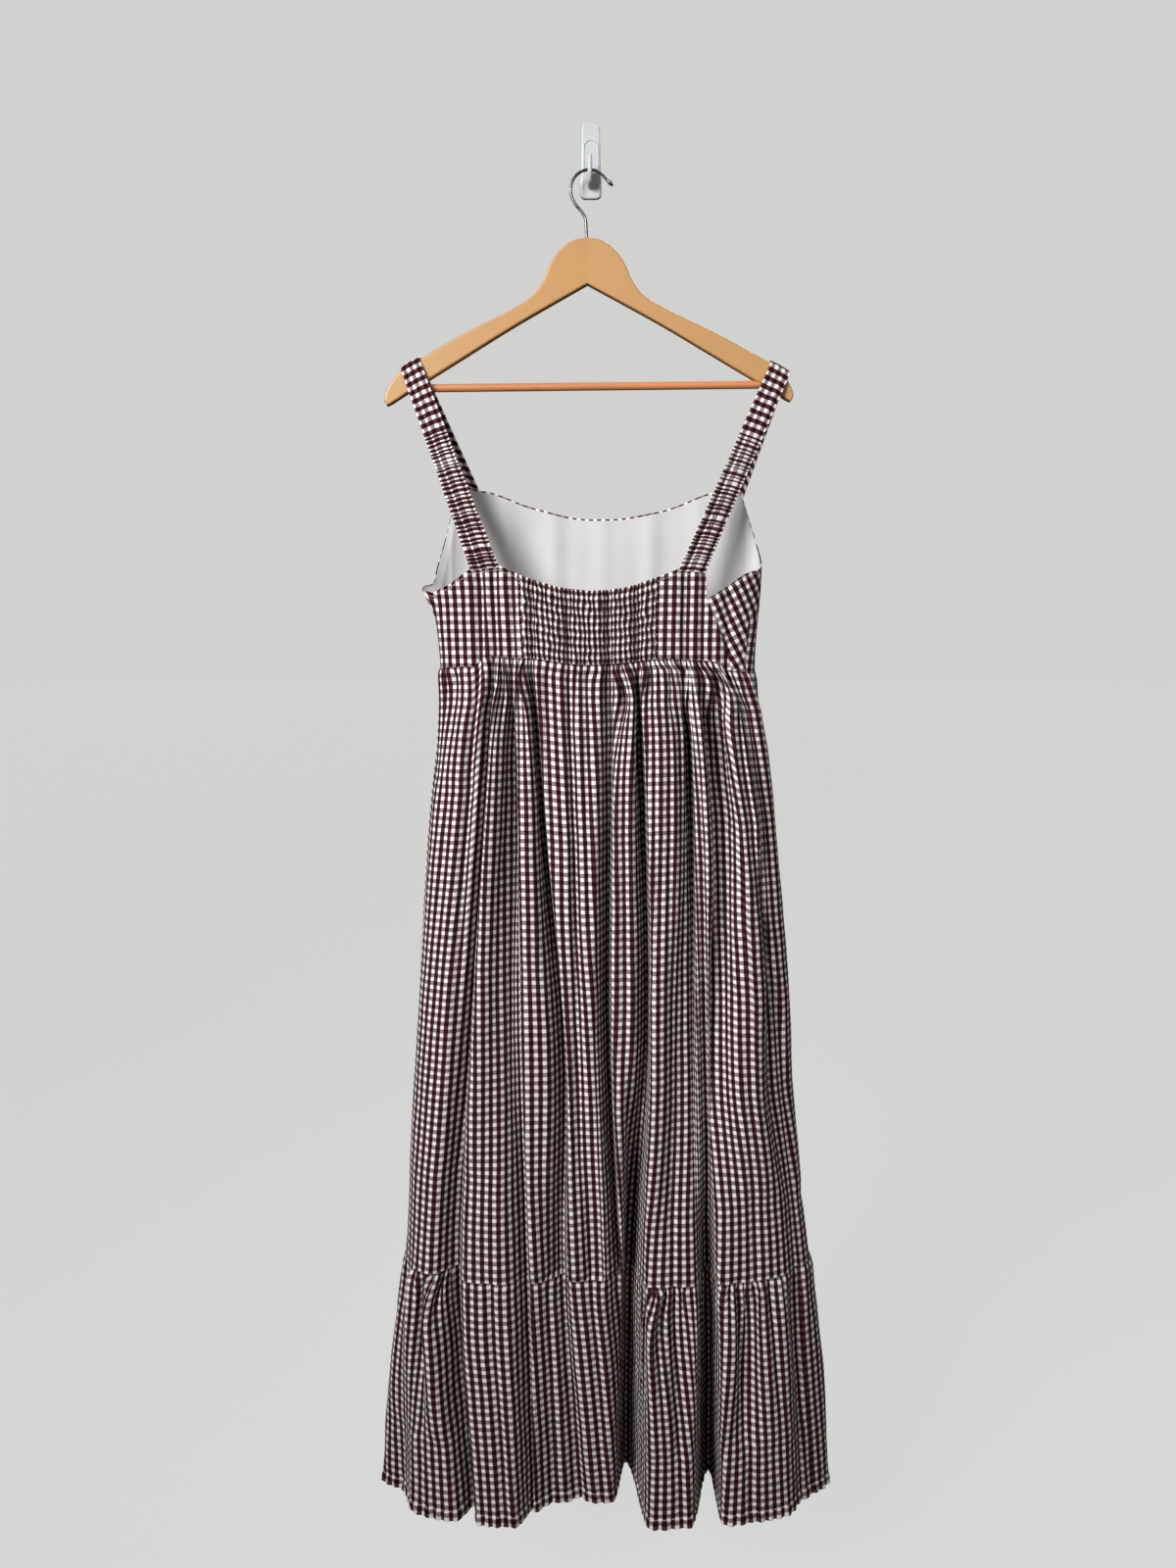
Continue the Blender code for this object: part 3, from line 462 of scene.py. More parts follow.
def settle(values, window):
    """Takes the slow drift out of a row of offsets."""
    half = max(3, int(window))
    kernel = np.hanning(2 * half + 1)
    kernel /= kernel.sum()
    return values - np.convolve(np.pad(values, half, mode="edge"), kernel, mode="valid")


def swing_for(shape, wanted):
    """The swing from side to side that shortens a stretch of cloth to the wanted share of itself."""
    low, high = 0.0, MOST_SWING
    for _ in range(18):
        middle = (low + high) / 2.0
        if np.cos(np.clip(middle * shape, -MOST_TILT, MOST_TILT)).mean() > wanted:
            low = middle
        else:
            high = middle
    return low


def evened(values, window):
    """A running mean, softest at the window's ends."""
    half = max(1, int(window))
    kernel = np.hanning(2 * half + 3)[1:-1]
    kernel /= kernel.sum()
    return np.convolve(np.pad(values, half, mode="edge"), kernel, mode="valid")


def gather_phases(cloth, waves, rng):
    """The phase of each size of gather along the cloth, a little uneven."""
    phases = []
    for size, _, _ in waves:
        shift = wander(len(cloth), GATHER_SHIFT_REACH * size / cloth[1], rng)
        phases.append(2.0 * np.pi * cloth / size + GATHER_SHIFT * shift)
    return phases


def seam_relief(cloth, rng):
    """The hem's puckers and the creases below a seam, along the cloth."""
    columns = len(cloth)
    step = cloth[1]
    shift = wander(columns, PUCKER_SHIFT_REACH / step, rng)
    pucker = np.sin(2.0 * np.pi * cloth / PUCKER_PITCH + PUCKER_SHIFT * shift)
    shift = wander(columns, TOP_CREASE_SHIFT_REACH / step, rng)
    crease = 1.0 - np.abs(np.sin(np.pi * cloth / TOP_CREASE_PITCH + TOP_CREASE_SHIFT * shift))
    strength = TOP_CREASE_MEAN + TOP_CREASE_SPREAD * wander(columns, TOP_CREASE_SPREAD_REACH / step, rng)
    return pucker, crease ** TOP_CREASE_SHARPNESS * np.clip(strength, TOP_CREASE_LEAST, TOP_CREASE_MOST)


def gather_shape(waves, phases, strength, below):
    """How the cloth leans from side to side at a distance below the seam, and its gathers' mean size."""
    weights = np.array([(1.0 - math.exp(-below / rise) if rise else 1.0) * math.exp(-below / fade)
                        for _, rise, fade in waves])
    weights = weights / weights.max()
    shape = np.zeros(len(strength))
    for order, (weight, phase) in enumerate(zip(weights, phases)):
        turned = phase + GATHER_DRIFT * math.sin(below / GATHER_DRIFT_LENGTH + 2.0 * order)
        wave = np.sin(turned + CROWN * np.sin(turned))
        shape += weight * wave * np.abs(wave) ** (STEEPNESS - 1.0)
    mean_size = float((weights * [size for size, _, _ in waves]).sum() / weights.sum())
    return shape * strength, mean_size


def gathered(rows, marks_at, columns, top, bottom, waves, length, seed, sewn_below):
    """A panel whose cloth keeps its own width: what the body has no room for stands up in gathers.

    Returns the points, the flat coordinates of the cloth and the width of its cut."""
    rng = np.random.default_rng(seed)
    girths = []
    for part in rows:
        marks, level = marks_at(part)
        fine, lengths = girth(marks, level)
        girths.append((fine, lengths, np.interp(marks, fine, lengths)))
    widths = CLOTH_SHARE * np.array([np.diff(stops) for _, _, stops in girths]).max(axis=0)
    flat_stops = np.concatenate([[0.0], np.cumsum(widths)])
    cut_width = flat_stops[-1]
    cloth = np.linspace(0.0, cut_width, columns)
    step = cloth[1]
    stretch = np.clip(np.searchsorted(flat_stops, cloth, side="right") - 1, 0, len(widths) - 1)
    phases = gather_phases(cloth, waves, rng)
    edge = np.clip(np.minimum(cloth, cut_width - cloth) / SIDE_FADE, 0.0, 1.0)
    strength = 1.0 + GATHER_STRENGTH * wander(columns, GATHER_STRENGTH_REACH / step, rng)
    pucker, crease = seam_relief(cloth, rng)
    points = []
    for part, (fine, lengths, stops) in zip(rows, girths):
        below = part * length
        above = length - below
        shape, mean_size = gather_shape(waves, phases, strength, below)
        wanted = np.diff(stops) / widths
        swings = np.array([swing_for(shape[stretch == index], share) for index, share in enumerate(wanted)])
        tilt = np.clip(evened(swings[stretch], LOCK_BLEND / step) * shape, -MOST_TILT, MOST_TILT)
        forward = np.concatenate([[0.0], np.cumsum((np.cos(tilt[1:]) + np.cos(tilt[:-1])) / 2.0)])
        along = np.interp(forward, np.interp(flat_stops, cloth, forward), stops)
        lift = settle(np.cumsum(np.sin(tilt)) * step, SETTLE_REACH * mean_size / step) * edge
        free = 1.0 - math.exp(-(below + SEAM_START) / SEAM_PINCH)
        if sewn_below:
            free *= 1.0 - math.exp(-(above + SEAM_START) / SEAM_PINCH)
        else:
            lift = lift + PUCKER * pucker * math.exp(-above / PUCKER_PITCH)
        lift = lift - TOP_CREASE * crease * math.exp(-below / TOP_CREASE_FADE)
        places = np.interp(along, lengths, fine)
        height = top(places) + (bottom(places) - top(places)) * part
        x, y = surface(places, height)
        out_x, out_y = outward(places, height)
        lift = (lift + POUF * math.exp(-below / POUF_FADE)) * free
        points.append(np.stack([x + out_x * lift, y + out_y * lift, height], axis=-1))
    down = np.repeat(np.array(rows) * length, columns).reshape(-1, columns)
    return np.array(points), np.stack([np.tile(cloth, (len(rows), 1)), down], axis=-1), cut_width


def unevenness(flat, size, seed):
    """A soft random relief over the cloth."""
    rng = np.random.default_rng(seed)
    total = np.zeros(flat.shape[:2])
    for wide, tall, share in SOFT_BUMPS:
        for _ in range(SOFT_REPEATS):
            turn = rng.uniform(-0.5, 0.5)
            along = flat[..., 0] / wide + turn * flat[..., 1] / tall
            down = flat[..., 1] / tall * rng.uniform(0.5, 1.5)
            ripple = share * np.sin(2 * np.pi * along + rng.uniform(0, 6.28))
            total += ripple * np.cos(2 * np.pi * down + rng.uniform(0, 6.28))
    return size * total / SOFT_TOTAL


def grid_normals(points):
    """Outward unit vectors of a grid of points."""
    normal = np.cross(np.gradient(points, axis=0), np.gradient(points, axis=1))
    return normal / np.maximum(np.linalg.norm(normal, axis=-1, keepdims=True), 1e-12)


def shell(name, points, thick, flat, material, flat_after=None, split=None):
    """A closed thin wall round a grid of points, with flat cloth coordinates as its UV map."""
    rows, columns = points.shape[:2]
    out = grid_normals(points)
    half = np.broadcast_to(np.asarray(thick, dtype=float) / 2.0, (rows, columns))[..., None]
    verts = np.concatenate([(points + out * half).reshape(-1, 3), (points - out * half).reshape(-1, 3)])
    index = np.arange(rows * columns).reshape(rows, columns)
    a, b, c, d = index[:-1, :-1], index[1:, :-1], index[1:, 1:], index[:-1, 1:]
    outer = np.stack([a, b, c, d], axis=-1).reshape(-1, 4)
    inner = np.stack([a, d, c, b], axis=-1).reshape(-1, 4) + index.size
    ring = np.concatenate([index[0, :], index[1:, -1], index[-1, -2::-1], index[-2:0:-1, 0]])
    ahead = np.roll(ring, -1)
    rim = np.stack([ring, ahead, ahead + index.size, ring + index.size], axis=-1)
    faces = np.concatenate([outer, inner, rim])
    mesh = bpy.data.meshes.new(name)
    mesh.vertices.add(len(verts))
    mesh.vertices.foreach_set("co", verts.astype(np.float32).ravel())
    mesh.loops.add(faces.size)
    mesh.loops.foreach_set("vertex_index", faces.astype(np.int32).ravel())
    mesh.polygons.add(len(faces))
    mesh.polygons.foreach_set("loop_start", np.arange(0, faces.size, 4, dtype=np.int32))
    corner = faces % index.size
    uv = flat.reshape(-1, 2)[corner]
    if flat_after is not None:
        after = (faces % index.size % columns).min(axis=1) >= split
        uv[after] = flat_after.reshape(-1, 2)[corner[after]]
    mesh.uv_layers.new(name="cloth").data.foreach_set("uv", uv.astype(np.float32).ravel())
    mesh.update(calc_edges=True)
    mesh.validate()
    mesh.shade_smooth()
    mesh.set_sharp_from_angle(angle=CLOTH_SHARP)
    mesh.materials.append(material)
    item = bpy.data.objects.new(name, mesh)
    item["columns"] = columns
    bpy.context.scene.collection.objects.link(item)
    return item


def dress_rows(length, near_top, near_bottom, count_top, count_middle, count_bottom):
    """Parts of the way down a panel, closer together near its top and its bottom."""
    top = np.linspace(0.0, near_top, count_top, endpoint=False)
    middle = np.linspace(near_top, length - near_bottom, count_middle, endpoint=False)
    bottom = np.linspace(length - near_bottom, length, count_bottom)
    return np.concatenate([top, middle, bottom]) / length


def declare(piece, node):
    """Attaches a sheet of cloth to the body, and hides the solid it stands for."""
    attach(piece, BODY_NAME)
    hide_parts(node)


# Shader building

def fill(tree, socket, value):
    """Links a value that is a socket, and sets any other."""
    if isinstance(value, bpy.types.NodeSocket):
        tree.links.new(value, socket)
    else:
        socket.default_value = value


def put(tree, kind, settings=None, **values):
    """A node with its settings and its inputs filled in, by name or, as i0 and so on, by number."""
    node = tree.nodes.new(kind)
    for key, value in (settings or {}).items():
        setattr(node, key, value)
    for key, value in values.items():
        numbered = key[0] == "i" and key[1:].isdigit()
        fill(tree, node.inputs[int(key[1:])] if numbered else node.inputs[key.replace("_", " ")], value)
    return node


def maths(tree, operation, first, second=None, third=None):
    values = {"i0": first}
    if second is not None:
        values["i1"] = second
    if third is not None:
        values["i2"] = third
    return put(tree, "ShaderNodeMath", {"operation": operation}, **values).outputs[0]


def add(tree, first, second):
    return maths(tree, "ADD", first, second)


def times(tree, first, second):
    return maths(tree, "MULTIPLY", first, second)


def blend_colours(tree, factor, first, second):
    node = put(tree, "ShaderNodeMix", {"data_type": "RGBA"}, i0=factor, i6=first, i7=second)
    return node.outputs[2]


def spread(tree, value, low, high, to_low=0.0, to_high=1.0, soft=True):
    settings = {"interpolation_type": "SMOOTHSTEP" if soft else "LINEAR"}
    node = put(tree, "ShaderNodeMapRange", settings, i0=value, i1=low, i2=high, i3=to_low, i4=to_high)
    return node.outputs[0]


def noise(tree, place, scale, detail):
    return put(tree, "ShaderNodeTexNoise", Vector=place, Scale=scale, Detail=detail)


def new_group(name, inputs, outputs):
    group = bpy.data.node_groups.new(name, "ShaderNodeTree")
    for label, kind, value in inputs:
        socket = group.interface.new_socket(label, in_out="INPUT", socket_type="NodeSocket" + kind)
        if value is not None:
            socket.default_value = value
    for label, kind in outputs:
        group.interface.new_socket(label, in_out="OUTPUT", socket_type="NodeSocket" + kind)
    return group, group.nodes.new("NodeGroupInput"), group.nodes.new("NodeGroupOutput")


def shared(tree, name, build, **values):
    """A shared group in a material's tree, built when it is first used."""
    group = bpy.data.node_groups.get(name) or build(name)
    return put(tree, "ShaderNodeGroup", {"node_tree": group}, **values)


# The weave: a small sway of the bands, their soft edges, and how much of the yarn's hatching and slubs shows
SWAY = 0.0008
BAND_EDGE = (0.210, 0.258)
WARP_SHARE = 0.62
HATCH_SHARE = 0.14
SLUB_SHARE = 0.10
SLUB_LONG = 60.0
SLUB_FINE = 1500.0
BLOTCH_SHARE = 0.04


def checked_bands(group, axes, check):
    """Masks of the dark bands along and across the cloth."""
    bands = []
    for axis in (0, 1):
        turns = maths(group, "DIVIDE", axes[axis], check)
        from_middle = maths(group, "ABSOLUTE", maths(group, "SUBTRACT", maths(group, "FRACT", turns), 0.5))
        bands.append(spread(group, from_middle, *BAND_EDGE))
    return bands


def gingham_group(name):
    """Yarn-dyed checks: dark where two dark bands cross, half dark where one does, with every thread."""
    group, given, result = new_group(
        name,
        (("Cloth", "Vector", None), ("Check", "Float", 0.0085), ("Thread", "Float", 0.00042),
         ("Dark", "Color", None), ("Half", "Color", None), ("Light", "Color", None)),
        (("Color", "Color"), ("Height", "Float")))
    cloth = given.outputs["Cloth"]
    sway = noise(group, cloth, 130.0, 2.0).outputs["Color"]
    centred = put(group, "ShaderNodeVectorMath", {"operation": "SUBTRACT"}, i0=sway, i1=(0.5, 0.5, 0.5))
    small = put(group, "ShaderNodeVectorMath", {"operation": "SCALE"}, i0=centred.outputs[0], Scale=SWAY)
    moved = put(group, "ShaderNodeVectorMath", {"operation": "ADD"}, i0=cloth, i1=small.outputs[0])
    axes = put(group, "ShaderNodeSeparateXYZ", i0=moved.outputs[0]).outputs
    warp, weft = checked_bands(group, axes, given.outputs["Check"])
    threads = [maths(group, "DIVIDE", axes[axis], given.outputs["Thread"]) for axis in (0, 1)]
    counts = [maths(group, "FLOOR", thread) for thread in threads]
    over = maths(group, "PINGPONG", add(group, *counts), 1.0)
    under = maths(group, "SUBTRACT", 1.0, over)
    hatch = add(group, times(group, warp, over), times(group, weft, under))
    even = add(group, times(group, warp, WARP_SHARE), times(group, weft, 1.0 - WARP_SHARE))
    share = add(group, times(group, even, 1.0 - HATCH_SHARE), times(group, hatch, HATCH_SHARE))
    slubs = []
    for scale in ((SLUB_FINE, SLUB_LONG, 1.0), (SLUB_LONG, SLUB_FINE, 1.0)):
        drawn = put(group, "ShaderNodeMapping", Vector=cloth, Scale=scale)
        slubs.append(noise(group, drawn.outputs[0], 1.0, 1.0).outputs["Fac"])
    slub = maths(group, "SUBTRACT", add(group, *slubs), 1.0)
    share = add(group, share, times(group, slub, SLUB_SHARE))
    half = given.outputs["Half"]
    lower = blend_colours(group, spread(group, share, 0.0, 0.5, soft=False), given.outputs["Light"], half)
    upper = blend_colours(group, spread(group, share, 0.5, 1.0, soft=False), lower, given.outputs["Dark"])
    # Soft random blotches, drawn a little towards the half tone.
    blotch = spread(group, noise(group, cloth, 14.0, 3.0).outputs["Fac"], 0.3, 0.7, 0.0, BLOTCH_SHARE)
    group.links.new(blend_colours(group, blotch, upper, half), result.inputs["Color"])
    waves = [maths(group, "SINE", times(group, thread, math.pi)) for thread in threads]
    ribs = [maths(group, "ABSOLUTE", wave) for wave in waves]
    crown = add(group, times(group, ribs[0], over), times(group, ribs[1], under))
    group.links.new(add(group, crown, times(group, slub, 1.2)), result.inputs["Height"])
    return group


def mottle_group(name):
    """A soft random mix of two colours."""
    group, given, result = new_group(
        name,
        (("Place", "Vector", None), ("Scale", "Float", 60.0), ("Detail", "Float", 2.0),
         ("First", "Color", None), ("Second", "Color", None)),
        (("Color", "Color"), ("Mask", "Float")))
    place, scale, detail = (given.outputs[label] for label in ("Place", "Scale", "Detail"))
    mask = noise(group, place, scale, detail).outputs["Fac"]
    mixed = blend_colours(group, mask, given.outputs["First"], given.outputs["Second"])
    group.links.new(mixed, result.inputs["Color"])
    group.links.new(mask, result.inputs["Mask"])
    return group


def grain_group(name):
    """Fine wood grain along X, on a broader change of tone."""
    group, given, result = new_group(
        name, (("Place", "Vector", None), ("Pale", "Color", None), ("Dark", "Color", None)),
        (("Color", "Color"), ("Grain", "Float")))
    place = given.outputs["Place"]
    dark = given.outputs["Dark"]
    stretched = put(group, "ShaderNodeMapping", Vector=place, Scale=(7.0, 110.0, 110.0))
    grain = noise(group, stretched.outputs[0], 1.0, 2.5).outputs["Fac"]
    broad = put(group, "ShaderNodeMapping", Vector=place, Scale=(3.0, 30.0, 30.0))
    tone = noise(group, broad.outputs[0], 1.0, 2.0).outputs["Fac"]
    first = blend_colours(group, spread(group, grain, 0.35, 0.70), given.outputs["Pale"], dark)
    second = blend_colours(group, spread(group, tone, 0.35, 0.75, 0.0, 0.5), first, dark)
    group.links.new(second, result.inputs["Color"])
    group.links.new(grain, result.inputs["Grain"])
    return group


# Materials

def shaded(name, roughness, metallic=0.0, **settings):
    """A new material, its node tree and its Principled shader."""
    material = bpy.data.materials.new(name)
    material.use_nodes = True
    tree = material.node_tree
    shader = tree.nodes["Principled BSDF"]
    shader.inputs["Roughness"].default_value = roughness
    shader.inputs["Metallic"].default_value = metallic
    for key, value in settings.items():
        shader.inputs[key.replace("_", " ")].default_value = value
    return material, tree, shader


def bump(tree, shader, height, distance, strength):
    node = put(tree, "ShaderNodeBump", Height=height, Strength=strength, Distance=distance)
    tree.links.new(node.outputs["Normal"], shader.inputs["Normal"])


def duller(colour, share):
    return tuple(channel * share for channel in colour[:3]) + (1.0,)


def mottled(tree, shader, place, scale, detail, first, second):
    """Mixes two colours softly into the base colour, and returns the mask."""
    mottle = shared(tree, "mottle", mottle_group, Place=place, Scale=scale, Detail=detail,
                    First=first, Second=second)
    tree.links.new(mottle.outputs["Color"], shader.inputs["Base Color"])
    return mottle.outputs["Mask"]


def gingham():
    """The gingham's material, made once."""
    made = bpy.data.materials.get("gingham cotton")
    if made:
        return made
    sizes = bpy.context.scene.dress_sizes
    colours = bpy.context.scene.dress_colours
    material, tree, shader = shaded("gingham cotton", 0.95, Sheen_Weight=0.01, Sheen_Roughness=0.6,
                                    Specular_IOR_Level=0.05)
    cloth = put(tree, "ShaderNodeUVMap", {"uv_map": "cloth"})
    weave = shared(tree, "gingham weave", gingham_group, Cloth=cloth.outputs[0], Check=sizes.check,
                   Thread=sizes.thread, Dark=tuple(colours.dark_yarn), Half=tuple(colours.half_yarn),
                   Light=tuple(colours.light_yarn))
    tree.links.new(weave.outputs["Color"], shader.inputs["Base Color"])
    bump(tree, shader, weave.outputs["Height"], 0.00012, 0.6)
    return material


def lining_material():
    # Its colour is darker than white cotton: painted shade, as the lining lies in shade inside the front.
    white = tuple(bpy.context.scene.dress_colours.lining)
    material, tree, shader = shaded("white cotton lining", 0.80, Sheen_Weight=0.10, Specular_IOR_Level=0.25)
    cloth = put(tree, "ShaderNodeUVMap", {"uv_map": "cloth"}).outputs[0]
    mottled(tree, shader, cloth, 18.0, 4.0, white, duller(white, 0.90))
    bump(tree, shader, noise(tree, cloth, 900.0, 2.0).outputs["Fac"], 0.0002, 0.5)
    return material


def wood_material(name, colour, dark, roughness, along):
    """Varnished wood with its grain along one direction in the plane of the wall."""
    material, tree, shader = shaded(name, roughness, Coat_Weight=0.25, Coat_Roughness=0.25)
    place = put(tree, "ShaderNodeTexCoord")
    turned = put(tree, "ShaderNodeMapping", Vector=place.outputs["Object"], Rotation=(0.0, along, 0.0))
    grain = shared(tree, "wood grain", grain_group, Place=turned.outputs[0], Pale=colour, Dark=dark)
    tree.links.new(grain.outputs["Color"], shader.inputs["Base Color"])
    bump(tree, shader, grain.outputs["Grain"], 0.00005, 0.02)
    return material


def thread_material():
    pale = tuple(bpy.context.scene.dress_colours.thread)
    material, tree, shader = shaded("sewing thread", 0.7, Specular_IOR_Level=0.2)
    place = put(tree, "ShaderNodeTexCoord").outputs["Object"]
    mottled(tree, shader, place, 900.0, 1.0, pale, duller(pale, 0.8))
    return material


def plastic_material():
    white = tuple(bpy.context.scene.dress_colours.plastic)
    material, tree, shader = shaded("white moulded plastic", 0.32)
    place = put(tree, "ShaderNodeTexCoord").outputs["Object"]
    mottled(tree, shader, place, 60.0, 2.0, white, duller(white, 0.94))
    return material


def chrome_material():
    colours = bpy.context.scene.dress_colours
    material, tree, shader = shaded("chromed wire", 0.3, 1.0)
    place = put(tree, "ShaderNodeTexCoord").outputs["Object"]
    # Its dark colours are painted reflection of dark surroundings; the duller spots are also rougher.
    mask = mottled(tree, shader, place, 300.0, 3.0, tuple(colours.chrome), tuple(colours.chrome_dark))
    tree.links.new(spread(tree, mask, 0.3, 0.7, 0.26, 0.38), shader.inputs["Roughness"])
    return material


# The pieces

def hem_thickness(flat, length, cloth, depth):
    """A double fold along the hem is three layers thick."""
    part = np.clip((flat[..., 1] - (length - depth)) / HEM_STEP, 0.0, 1.0)
    return cloth * (1.0 + 2.0 * part)


def make_skirt():
    cloth = bpy.context.scene.dress_sizes.cloth
    for side, folds, locks in (("back", BACK_FOLDS, SKIRT_LOCKS), ("front", FRONT_FOLDS, FRONT_LOCKS)):
        columns, counts, seed = SKIRT_GRIDS[side]
        rows = dress_rows(SKIRT_LENGTH, SKIRT_TOP_ROWS, BOTTOM_ROWS, *counts)
        marks_at = fold_marks([folds[lock] for lock in locks], WAIST_LEVEL, TIER_SEAM, side == "front")
        points, flat, width = gathered(rows, marks_at, columns, waist, level_edge(TIER_SEAM), WAIST_WAVES,
                                       SKIRT_LENGTH, seed, True)
        points += grid_normals(points) * unevenness(flat, SKIRT_SOFT, seed)[..., None]
        piece = shell("dress_skirt_" + side, points, cloth, flat, gingham())
        declare(piece, "skirt_" + side)


def hem_relief(flat, across, length, depth, seed):
    """The hem's stitches draw the cloth in; its fold stands proud, and is crumpled at the left."""
    rng = np.random.default_rng(seed)
    below = flat[..., 1] - (length - depth)
    uneven = sum(share * wander(flat.shape[1], reach, rng) for reach, share in HEM_PUCKER_SIZES)
    crumpled = 1.0 + HEM_CRUMPLE * np.clip((HEM_CRUMPLED - across) / HEM_CRUMPLED_FADE, 0.0, 1.0)
    highest = 1.0 + HEM_RISE
    wavy = np.sin(np.pi * np.clip(below / depth + HEM_RISE, 0.0, highest) / highest)
    pucker = uneven[None, :] * wavy * crumpled
    return HEM_PUCKER * pucker - HEM_GROOVE * np.exp(-(below / HEM_GROOVE_WIDE) ** 2)


def make_ruffle():
    sizes = bpy.context.scene.dress_sizes
    for side, folds, locks in (("back", BACK_FOLDS, RUFFLE_LOCKS), ("front", FRONT_FOLDS, FRONT_LOCKS)):
        columns, counts, seed = RUFFLE_GRIDS[side]
        rows = dress_rows(RUFFLE_LENGTH, RUFFLE_TOP_ROWS, BOTTOM_ROWS, *counts)
        marks_at = fold_marks([folds[lock] for lock in locks], TIER_SEAM, HEM, side == "front")
        points, flat, width = gathered(rows, marks_at, columns, level_edge(TIER_SEAM), level_edge(HEM),
                                       TIER_WAVES, RUFFLE_LENGTH, seed, False)
        relief = unevenness(flat, RUFFLE_SOFT, seed)
        relief += hem_relief(flat, points[..., 0], RUFFLE_LENGTH, sizes.hem, seed)
        points += grid_normals(points) * relief[..., None]
        thick = hem_thickness(flat, RUFFLE_LENGTH, sizes.cloth, sizes.hem)
        piece = shell("dress_ruffle_" + side, points, thick, flat, gingham())
        piece["hem_row"] = int(np.searchsorted(rows * RUFFLE_LENGTH, RUFFLE_LENGTH - sizes.hem))
        declare(piece, "ruffle_" + side)


def plain_panel(rows, marks_at, counts, top, bottom):
    """Places and heights of an ungathered panel, shared out evenly between its marks."""
    places = []
    heights = []
    for part in rows:
        marks, level = marks_at(part)
        fine, lengths = girth(marks, level)
        stops = np.interp(marks, fine, lengths)
        spots = [np.linspace(stops[i], stops[i + 1], counts[i], endpoint=False) for i in range(len(counts))]
        places.append(np.interp(np.concatenate(spots + [stops[-1:]]), lengths, fine))
        heights.append(top(places[-1]) + (bottom(places[-1]) - top(places[-1])) * part)
    return np.array(places), np.array(heights)


def on_body(places, heights, offset=0.0):
    x, y = surface(places, heights)
    out_x, out_y = outward(places, heights)
    return np.stack([x + out_x * offset, y + out_y * offset, heights], axis=-1)


def underarm(points, places):
    """The left underarm's seam allowance stands out to the side as a small fold."""
    from_seam = np.minimum(places, 2.0 - places)
    near = np.exp(-(from_seam / UNDERARM_WIDE) ** 2)
    near = near * np.exp(-((points[..., 2] - UNDERARM_TOP) / UNDERARM_TALL) ** 2)
    points[..., 0] -= UNDERARM_OUT * near
    points[..., 2] += UNDERARM_UP * near
    return points


def cloth_coordinates(points, places, zero_place):
    """Flat coordinates of cloth laid on the body: along each row from a place, and down from its waist."""
    steps = np.hypot(np.diff(points[..., 0], axis=1), np.diff(points[..., 1], axis=1))
    along = np.concatenate([np.zeros((len(points), 1)), np.cumsum(steps, axis=1)], axis=1)
    zero = np.array([np.interp(zero_place, row, length) for row, length in zip(places, along)])
    return np.stack([along - zero[:, None], WAIST_LEVEL - points[..., 2]], axis=-1) * BODICE_EASE


def between(top, bottom, part):
    return top + (bottom - top) * part


def make_back_bodice():
    cloth = bpy.context.scene.dress_sizes.cloth
    rows = np.linspace(0.0, 1.0, BACK_BODICE_ROWS)
    left_marks = (0.0,) + STRAP_BACK["left"] + SHIRRED[:1]

    def left_at(part):
        return left_marks, between(BACK_TOP_LEVEL, WAIST_LEVEL, part)

    strap_start, strap_end = STRAP_BACK["right"]
    strap_share = (strap_start - SHIRRED[1]) / (strap_end - SHIRRED[1])
    armhole_top = float(back_top(strap_end))

    def right_at(part):
        seam = seam_place(between(armhole_top, RIGHT_SEAM_WAIST, part))
        strap = SHIRRED[1] + (seam - SHIRRED[1]) * strap_share
        return (SHIRRED[1], strap, seam), between(BACK_TOP_LEVEL, WAIST_LEVEL, part)

    for side, marks_at, counts, zero in (("left", left_at, (48, 24, 16), SHIRRED[0]),
                                         ("right", right_at, (26, 44), SHIRRED[1])):
        places, heights = plain_panel(rows, marks_at, counts, back_top, waist)
        points = on_body(places, heights)
        flat = cloth_coordinates(points, places, zero)
        points += grid_normals(points) * unevenness(flat, BODICE_SOFT, BACK_BODICE_SEED)[..., None]
        points = underarm(points, places)
        piece = shell("dress_bodice_back_" + side, points, cloth, flat, gingham())
        declare(piece, "bodice_back_" + side)


def shirring(sizes, rows):
    """How far the shirred cloth stands up, and how many gathers it has turned through, row by row."""
    bands = sizes.shirring_rows
    gathers = sizes.shirring_gathers
    columns = SHIRRED_COLUMNS + 1
    rng = np.random.default_rng(SHIRRED_SEED)
    across = np.linspace(0.0, 1.0, columns)
    phases = [2 * np.pi * gathers * across + SHIRRED_SHIFT * wander(columns, SHIRRED_SHIFT_REACH, rng)
              for _ in range(bands + 1)]
    heave = [SHIRRED_HEAVE + (1.0 - SHIRRED_HEAVE) * wander(columns, SHIRRED_HEAVE_REACH, rng)
             for _ in range(bands + 1)]
    lift = []
    turns = []
    for part in rows:
        spot = min(part * bands, bands - 1e-9)
        band = int(spot)
        inside = spot - band
        puff = math.cos(math.pi / 2.0 * inside) if band == 0 else math.sin(math.pi * inside) ** 0.6
        mixed = phases[band] * (1 - inside) + phases[band + 1] * inside
        ridge = (0.5 + 0.5 * np.cos(mixed)) * heave[band]
        lift.append(sizes.shirring_puff * (PUFF_SHARE * puff + between(RIDGE_SHARE, 1.0, puff) * ridge))
        turns.append(mixed / (2.0 * np.pi))
    edge = np.clip(np.minimum(across, 1.0 - across) / SHIRRED_EDGE, 0.0, 1.0)
    even = gathers * across
    return np.array(lift) * edge, TURN_SHARE * np.array(turns) + (1.0 - TURN_SHARE) * even


